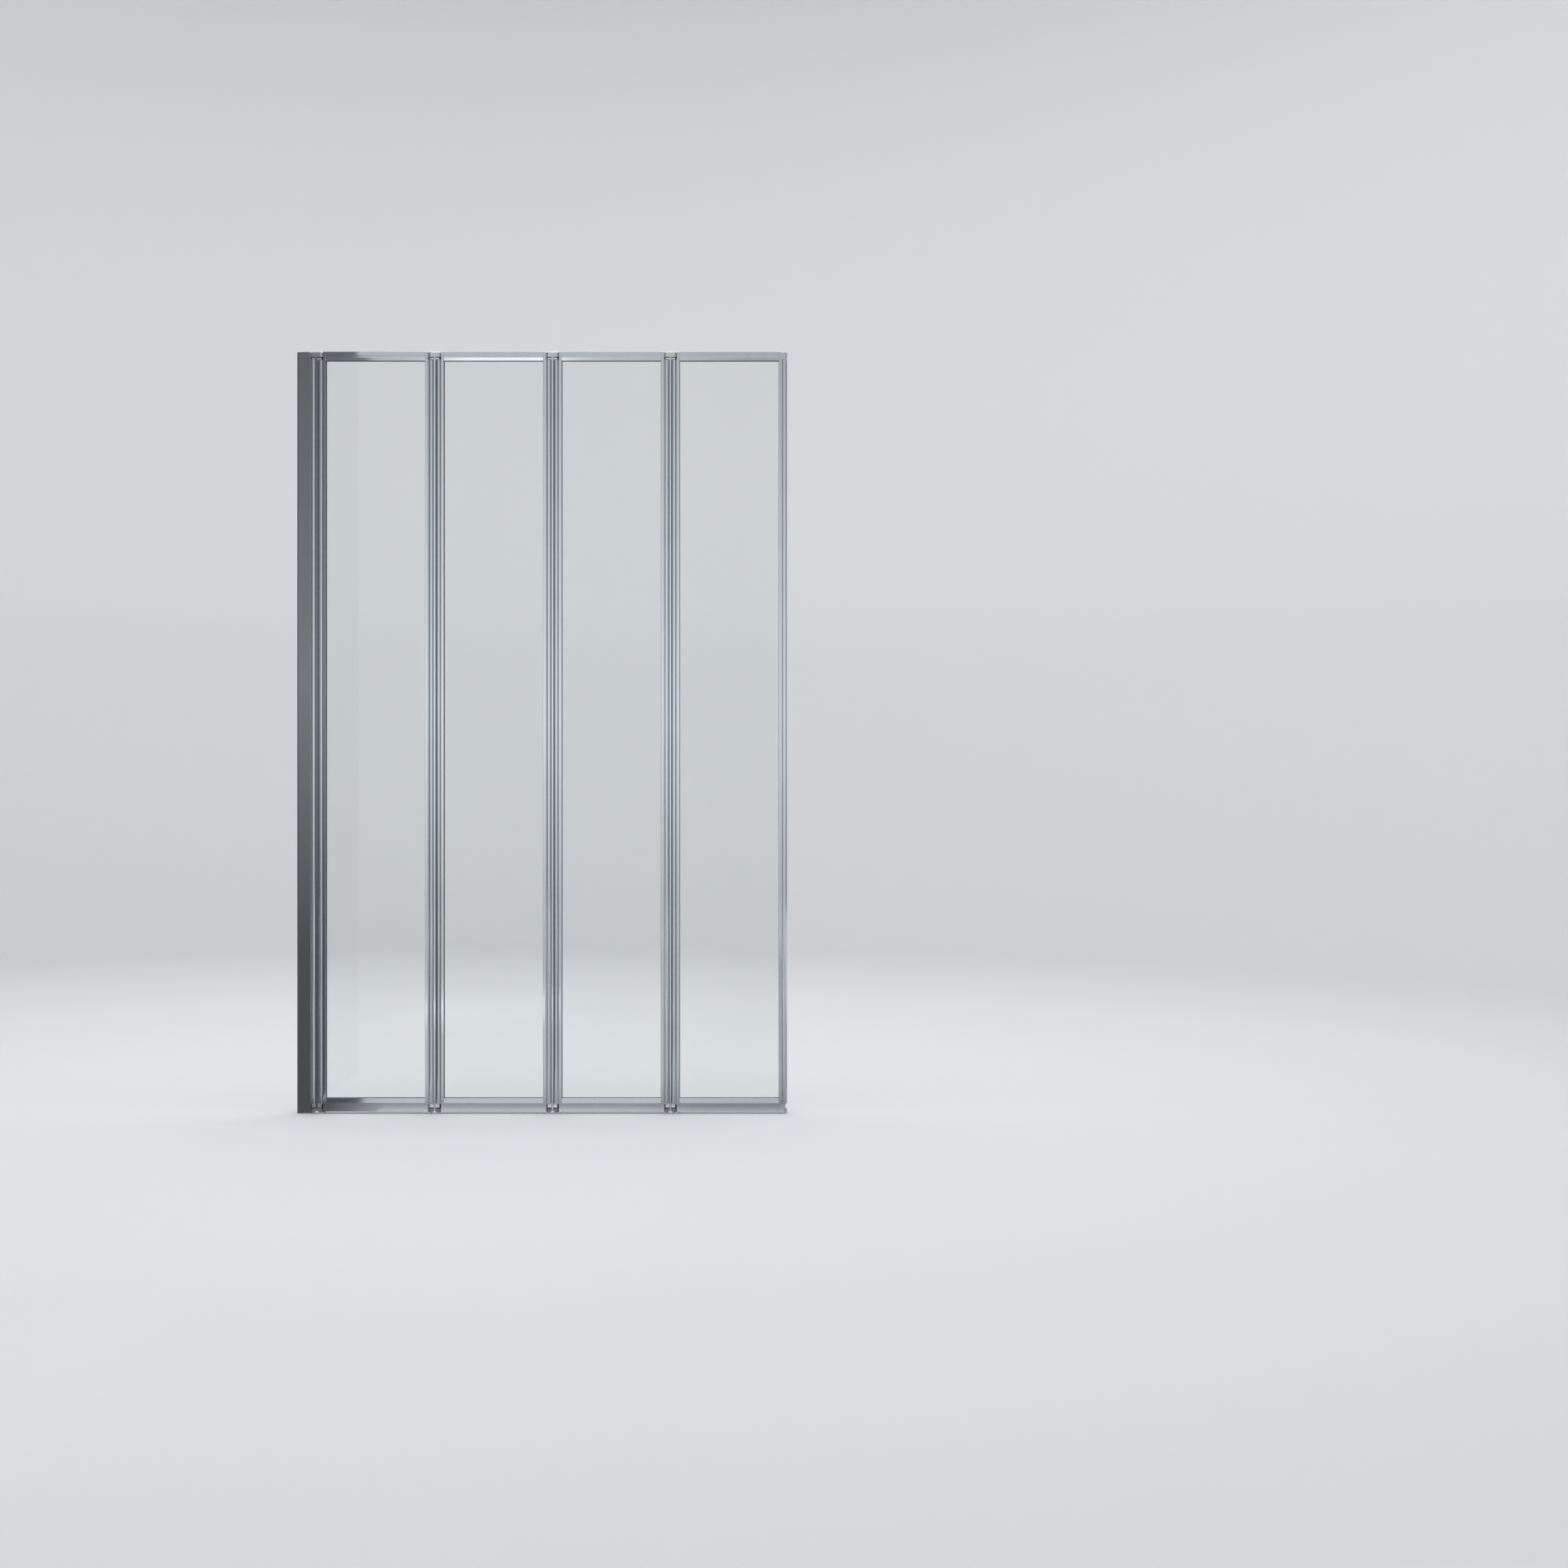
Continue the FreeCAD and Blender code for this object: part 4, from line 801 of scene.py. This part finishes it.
# Seal
# Pale extruded vinyl strip pushed into the slot under each bottom rail.
# It narrows to a soft wiping edge at the screen's base.
SEAL_HALF = 5.5 * MM
SEAL_SIDE = 2.6 * MM
SEAL_TIP_HALF = 3.2 * MM
SEAL_EASE = 0.3 * MM
SEAL_PALE = (0.80, 0.81, 0.83, 1)
SEAL_SHADE = (0.74, 0.75, 0.77, 1)
seal_vinyl = finished_material(
    "seal_vinyl", moulded_skin, stretch=(40, 1500, 1500), relief=0.006 * MM,
    colours=(SEAL_PALE, SEAL_SHADE), roughness=(0.35, 0.5),
    Subsurface_Weight=0.25, Subsurface_Scale=2 * MM)
for leaf in LEAVES:
    low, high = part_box(f"{leaf}_bottom_seal")
    rail_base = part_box(f"{leaf}_bottom_rail")[0].z
    slot_lip = rail_base + SLOT_LIP
    half = [(SLOT_HALF, high.z), (SLOT_HALF, slot_lip), (SLOT_MOUTH_HALF, slot_lip),
            (SLOT_MOUTH_HALF, rail_base), (SEAL_HALF, rail_base), (SEAL_HALF, rail_base - SEAL_SIDE),
            (SEAL_TIP_HALF, low.z)]
    bm = bmesh.new()
    extruded(bm, both_faces(half), low.x, high.x)
    ease_edges(bm, SEAL_EASE)
    bmesh.ops.transform(bm, matrix=LYING, verts=bm.verts)
    new_piece(f"{leaf}_seal_strip", bm, leaf, "pale_seal", seal_vinyl, f"{leaf}_bottom_seal")

# Corner screws
# Small stainless screws through the stiles' outer edges into the rails' ports, two in each edge.
# Their heads lie in recesses behind the hinges' caps and feet.
CORNER_HEAD_RADIUS = 2.5 * MM
CORNER_HEAD = 1.1 * MM
CORNER_SHANK_RADIUS = 1.5 * MM
CORNER_LENGTH = 20 * MM
mesh = new_screw(CORNER_HEAD_RADIUS, CORNER_HEAD, CORNER_SHANK_RADIUS, CORNER_LENGTH)
for leaf in LEAVES:
    low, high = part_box(f"{leaf}_frame_screws")
    edges = ((low.x, -math.pi / 2), (high.x, math.pi / 2))
    heights = (low.z + CORNER_HEAD_RADIUS, high.z - CORNER_HEAD_RADIUS)
    bm = bmesh.new()
    place_copies(bm, mesh, [Matrix.Translation((x, 0, z)) @ Matrix.Rotation(turn, 4, "Y")
                            for x, turn in edges for z in heights])
    new_piece(f"{leaf}_corner_screws", bm, leaf, "stainless_steel", bright_steel, f"{leaf}_frame_screws")

# End plugs
# Silver moulded plugs pushed into the free barrel of the last leaf, with a grey glide on the lower one.
# A web on each shuts the gap to the stile, and the lower one has a slim waist above its glide.
PLUG_WAIST = 2.2 * MM
PLUG_EASE = 0.5 * MM
PLUG_SHOULDER = 0.15 * MM
PLUG_STEP = 0.9 * MM
GLIDE_LIGHT = (0.420, 0.435, 0.455, 1)
GLIDE_DARK = (0.330, 0.343, 0.362, 1)
glide_plastic = finished_material(
    "glide_plastic", moulded_skin, stretch=(1400, 1400, 1400), relief=0.012 * MM,
    colours=(GLIDE_LIGHT, GLIDE_DARK), roughness=(0.36, 0.55))
free_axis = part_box("leaf_4_right_stile")[1].x - barrel_radius
stile_edge = free_axis - barrel_radius - BARREL_STANDOFF
web = rectangle(stile_edge, free_axis - PLUG_WAIST / 2, -NECK_DEPTH, NECK_DEPTH)
step_radius, shoulder, eased = (cap_radius - inset for inset in (PLUG_STEP, PLUG_SHOULDER, PLUG_EASE))
low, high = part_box("end_plug_top")
neck_top = barrel_high + UPPER_NECK
bm = bmesh.new()
turned(bm, [(0, low.z), (BUSH_RADIUS, low.z), (BUSH_RADIUS, barrel_high), (step_radius, barrel_high),
            (step_radius, neck_top), (cap_radius, neck_top), (cap_radius, high.z - PLUG_EASE),
            (shoulder, high.z - PLUG_SHOULDER), (eased, high.z), (0, high.z)], free_axis, steps=64)
extruded(bm, web, barrel_high, high.z - PLUG_EASE)
new_piece("end_plug_upper", bm, "leaf_4", "silver_plastic", moulded_silver, "end_plug_top")
low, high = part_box("end_plug_bottom")
waist_base = low.z + PLUG_EASE
bm = bmesh.new()
turned(bm, [(0, waist_base), (PLUG_WAIST, waist_base), (PLUG_WAIST, barrel_low), (BUSH_RADIUS, barrel_low),
            (BUSH_RADIUS, high.z), (0, high.z)], free_axis, steps=64)
extruded(bm, web, waist_base, barrel_low)
new_piece("end_plug_lower", bm, "leaf_4", "silver_plastic", moulded_silver, "end_plug_bottom")
glide_top = low.z + FOOT_HEIGHT
glide_bore = PLUG_WAIST - PLUG_EASE
bm = bmesh.new()
turned(bm, [(glide_bore, low.z), (eased, low.z), (shoulder, low.z + PLUG_SHOULDER),
            (cap_radius, low.z + PLUG_EASE), (cap_radius, glide_top - PLUG_EASE),
            (shoulder, glide_top - PLUG_SHOULDER), (eased, glide_top), (glide_bore, glide_top)],
       free_axis, steps=64)
new_piece("end_plug_glide", bm, "leaf_4", "grey_plastic", glide_plastic, "end_plug_bottom")

# Studio
# Pale floor that sweeps up into a plain round backdrop, under a wide soft light.
# Soft panels all round and on the floor, and cards beside the channel, show only in reflections.
FLOOR_RADIUS = 5.0
FLOOR_GAP = 0.2 * MM
FLOOR_SAME_PLACE = 0.001 * MM
BACKDROP_HEIGHT = 4.8
SWEEP = 1.2
FADE_HEIGHT = 1.4
BACKDROP_TONE = (0.80, 0.81, 0.82, 1)
FLOOR_TONE = (0.66, 0.67, 0.685, 1)
PANEL_TINT = (0.955, 0.985, 1.02, 1)


def studio_piece(name, bm, material):
    mesh = bpy.data.meshes.new(name)
    bm.to_mesh(mesh)
    bm.free()
    mesh.materials.append(material)
    mesh.shade_smooth()
    piece = bpy.data.objects.new(name, mesh)
    bpy.context.scene.collection.objects.link(piece)
    return piece


def place_along(material, axis):
    """Place along one axis of the frame."""
    nodes = material.node_tree.nodes
    place, parts = nodes.new("ShaderNodeTexCoord"), nodes.new("ShaderNodeSeparateXYZ")
    material.node_tree.links.new(place.outputs["Object"], parts.inputs["Vector"])
    return parts.outputs[axis]


def ramp(material, axis, stops):
    """Brightness along one axis, from stops (place, brightness) in the order of their places."""
    curve = material.node_tree.nodes.new("ShaderNodeFloatCurve")
    line = curve.mapping.curves[0]
    while len(line.points) < len(stops):
        line.points.new(0.5, 0.5)
    first, final = stops[0][0], stops[-1][0]
    for point, (where, brightness) in zip(line.points, stops):
        point.location = ((where - first) / (final - first), brightness)
        point.handle_type = "VECTOR"
    curve.mapping.update()
    along = add_range(material.node_tree, place_along(material, axis), (first, final), low=0.0, high=1.0)
    material.node_tree.links.new(along, curve.inputs["Value"])
    return curve.outputs["Value"]


def combined(material, operation, first, second):
    """Two brightnesses as one, such as their product."""
    both = material.node_tree.nodes.new("ShaderNodeMath")
    both.operation = operation
    material.node_tree.links.new(first, both.inputs[0])
    material.node_tree.links.new(second, both.inputs[1])
    return both.outputs[0]


def panel_material(name):
    """Soft panel that gives its own light, as bright as new_panel then sets it."""
    material = bpy.data.materials.new(name)
    material.use_nodes = True
    nodes = material.node_tree.nodes
    nodes.remove(nodes["Principled BSDF"])
    glow = nodes.new("ShaderNodeEmission")
    glow.name = "glow"
    glow.inputs["Color"].default_value = PANEL_TINT
    material.node_tree.links.new(glow.outputs[0], nodes["Material Output"].inputs["Surface"])
    return material


def new_panel(name, bm, material, brightness):
    """Panel of this brightness that shows only in reflections."""
    material.node_tree.links.new(brightness, material.node_tree.nodes["glow"].inputs["Strength"])
    panel = studio_piece(name, bm, material)
    panel.visible_camera = panel.visible_diffuse = panel.visible_shadow = panel.visible_transmission = False


surround = bpy.data.materials.new("studio_surround")
surround.use_nodes = True
nodes, links = surround.node_tree.nodes, surround.node_tree.links
shader = nodes["Principled BSDF"]
shader.inputs["Roughness"].default_value = 0.9
shader.inputs["Specular IOR Level"].default_value = 0.1
fade = add_range(surround.node_tree, place_along(surround, "Z"), (0.0, FADE_HEIGHT), low=1.0, high=0.0)
tone = nodes.new("ShaderNodeMix")
tone.data_type = "RGBA"
tone.inputs[6].default_value, tone.inputs[7].default_value = BACKDROP_TONE, FLOOR_TONE
links.new(fade, tone.inputs["Factor"])
links.new(tone.outputs[2], shader.inputs["Base Color"])
bm = bmesh.new()
start = bm.verts.new((0, -FLOOR_RADIUS + SWEEP, 0))
bm.edges.new((bm.verts.new((0, 0, 0)), start))
bmesh.ops.spin(bm, geom=[start], cent=(0, -FLOOR_RADIUS + SWEEP, SWEEP), axis=(1, 0, 0),
               angle=-math.pi / 2, steps=16)
bm.verts.ensure_lookup_table()
rim = bm.verts[-1]
bm.edges.new((rim, bm.verts.new((0, rim.co.y, BACKDROP_HEIGHT))))
bmesh.ops.spin(bm, geom=list(bm.verts) + list(bm.edges), cent=(0, 0, 0), axis=(0, 0, 1), angle=math.tau,
               steps=96, use_merge=True)
bmesh.ops.remove_doubles(bm, verts=bm.verts, dist=FLOOR_SAME_PLACE)
bmesh.ops.translate(bm, verts=bm.verts, vec=(0, 0, -FLOOR_GAP))
studio_piece("studio_floor", bm, surround)

# Round panel: brightest just above eye level, dimmer overhead, and dark at both ends of the screen,
# more so at the channel's end
PANEL_RADIUS = 4.4
PANEL_HEIGHT = 4.0
PANEL_RISE = ((0.0, 0.56), (0.9, 0.92), (2.4, 0.58), (PANEL_HEIGHT, 0.50))
PANEL_ACROSS = ((-PANEL_RADIUS, 0.15), (-3.7, 0.28), (-2.5, 0.95), (0.3, 1.0), (0.65, 0.86), (2.6, 0.95),
                (3.9, 0.50), (PANEL_RADIUS, 0.40))
material = panel_material("round_panel")
glow = combined(material, "MULTIPLY", ramp(material, "Z", PANEL_RISE), ramp(material, "X", PANEL_ACROSS))
bm = bmesh.new()
bmesh.ops.create_cone(bm, segments=64, radius1=PANEL_RADIUS, radius2=PANEL_RADIUS, depth=PANEL_HEIGHT,
                      matrix=Matrix.Translation((0, 0, PANEL_HEIGHT / 2)))
new_panel("studio_round_panel", bm, material, glow)

# Floor panels: pale close to the screen, a dim band a hand's breadth from it, then even, and dimmer
# towards the free end, with one bright soft patch that shows in the second top rail's bevel
FLOOR_PANEL_ENDS = (-1.55, 2.45)
FLOOR_PANEL_NEAR = 0.02
FLOOR_PANEL_FAR = 4.2
FLOOR_PANEL_ACROSS = ((FLOOR_PANEL_ENDS[0], 1.0), (0.60, 1.0), (0.74, 0.78), (FLOOR_PANEL_ENDS[1], 0.78))
FLOOR_PANEL_AWAY = ((0.025, 0.70), (0.11, 0.34), (0.22, 0.48), (0.50, 0.60), (1.6, 0.60),
                    (FLOOR_PANEL_FAR, 0.54))
FLOOR_PANEL_MIDDLE = (0.0, 0.72)
PATCH_ACROSS = ((-0.22, 0.0), (-0.06, 0.62), (0.19, 0.62), (0.27, 0.10), (0.45, 0.0))
PATCH_AWAY = ((-2.30, 0.0), (-2.00, 1.0), (-1.62, 1.0), (-1.35, 0.0))
material = panel_material("floor_panel")
before = [(-away, brightness) for away, brightness in reversed(FLOOR_PANEL_AWAY)]
away = ramp(material, "Y", (*before, FLOOR_PANEL_MIDDLE, *FLOOR_PANEL_AWAY))
even = combined(material, "MULTIPLY", away, ramp(material, "X", FLOOR_PANEL_ACROSS))
patch = combined(material, "MULTIPLY", ramp(material, "X", PATCH_ACROSS), ramp(material, "Y", PATCH_AWAY))
bm = bmesh.new()
for side in (-1, 1):
    corners = rectangle(*FLOOR_PANEL_ENDS, side * FLOOR_PANEL_NEAR, side * FLOOR_PANEL_FAR)
    bm.faces.new([bm.verts.new((x, y, 0)) for x, y in corners])
new_panel("studio_floor_panel", bm, material, combined(material, "ADD", even, patch))

# Side card: stands just behind the channel's back, where the channel and the first leaf's frame mirror it
CARD_PLACE = -0.004
SIDE_CARD_NEAR = 0.02
SIDE_CARD_FAR = 0.52
SIDE_CARD_TOP = 2.2
SIDE_CARD_RISE = ((0.0, 0.085), (0.3, 0.09), (0.8, 0.235), (1.4, 0.15), (SIDE_CARD_TOP, 0.18))
material = panel_material("side_card")
bm = bmesh.new()
for side in (-1, 1):
    corners = rectangle(side * SIDE_CARD_NEAR, side * SIDE_CARD_FAR, 0, SIDE_CARD_TOP)
    bm.faces.new([bm.verts.new((CARD_PLACE, y, z)) for y, z in corners])
new_panel("studio_side_card", bm, material, ramp(material, "Z", SIDE_CARD_RISE))

# Floor card: lies before the side card, so that the lowest part of the channel mirrors the same dark tone
FLOOR_CARD_END = 0.14
FLOOR_CARD_NEAR = 0.009
FLOOR_CARD_FAR = 0.22
FLOOR_CARD_LIFT = 0.4 * MM
FLOOR_CARD_ACROSS = ((CARD_PLACE, 0.085), (0.03, 0.09), (0.08, 0.20), (FLOOR_CARD_END, 0.40))
FLOOR_CARD_AWAY = ((-FLOOR_CARD_FAR, 0.47), (-0.12, 0.0), (0.12, 0.0), (FLOOR_CARD_FAR, 0.47))
material = panel_material("floor_card")
across, away = ramp(material, "X", FLOOR_CARD_ACROSS), ramp(material, "Y", FLOOR_CARD_AWAY)
bm = bmesh.new()
for side in (-1, 1):
    corners = rectangle(CARD_PLACE, FLOOR_CARD_END, side * FLOOR_CARD_NEAR, side * FLOOR_CARD_FAR)
    bm.faces.new([bm.verts.new((x, y, FLOOR_CARD_LIFT)) for x, y in corners])
new_panel("studio_floor_card", bm, material, combined(material, "MAXIMUM", across, away))

# Light: one wide soft lamp overhead, and an even pale sky
LAMP_SIZE = 4.0
LAMP_POWER = 150
LAMP_PLACE = (0.4, 0.2, 4.6)
SKY_COLOUR = (0.985, 0.99, 1.0, 1)
SKY_STRENGTH = 0.62
overhead = bpy.data.lights.new("overhead", "AREA")
overhead.shape = "RECTANGLE"
overhead.size = overhead.size_y = LAMP_SIZE
overhead.energy = LAMP_POWER
lamp = bpy.data.objects.new("overhead", overhead)
lamp.location = LAMP_PLACE
bpy.context.scene.collection.objects.link(lamp)
sky = bpy.data.worlds.new("studio_sky")
sky.use_nodes = True
sky.node_tree.nodes["Background"].inputs["Color"].default_value = SKY_COLOUR
sky.node_tree.nodes["Background"].inputs["Strength"].default_value = SKY_STRENGTH
bpy.context.scene.world = sky
bpy.context.scene.view_settings.view_transform = "Standard"

# Camera
# Level and square to the screen, at the height and side offset of the picture.
# Its places are pixels of the picture: where level lines meet, the channel's edge and the screen's base.
PICTURE = 1932
VANISHING_POINT = (988, 978)
FOCAL_PIXELS = 2461
PIXEL_AT_SCREEN = 1.4913 * MM
CHANNEL_EDGE_PIXEL = 366.3
BASE_PIXEL = 1372.1
SENSOR = 36
lens = bpy.data.cameras.new("camera")
lens.sensor_width = SENSOR
lens.lens = FOCAL_PIXELS / PICTURE * SENSOR
lens.shift_x = (PICTURE / 2 - VANISHING_POINT[0]) / PICTURE
lens.shift_y = (VANISHING_POINT[1] - PICTURE / 2) / PICTURE
camera = bpy.data.objects.new("camera", lens)
camera.location = ((VANISHING_POINT[0] - CHANNEL_EDGE_PIXEL) * PIXEL_AT_SCREEN,
                   cad_box[0].y - FOCAL_PIXELS * PIXEL_AT_SCREEN,
                   (BASE_PIXEL - VANISHING_POINT[1]) * PIXEL_AT_SCREEN)
camera.rotation_euler = (math.pi / 2, 0, 0)
bpy.context.scene.collection.objects.link(camera)
bpy.context.scene.camera = camera
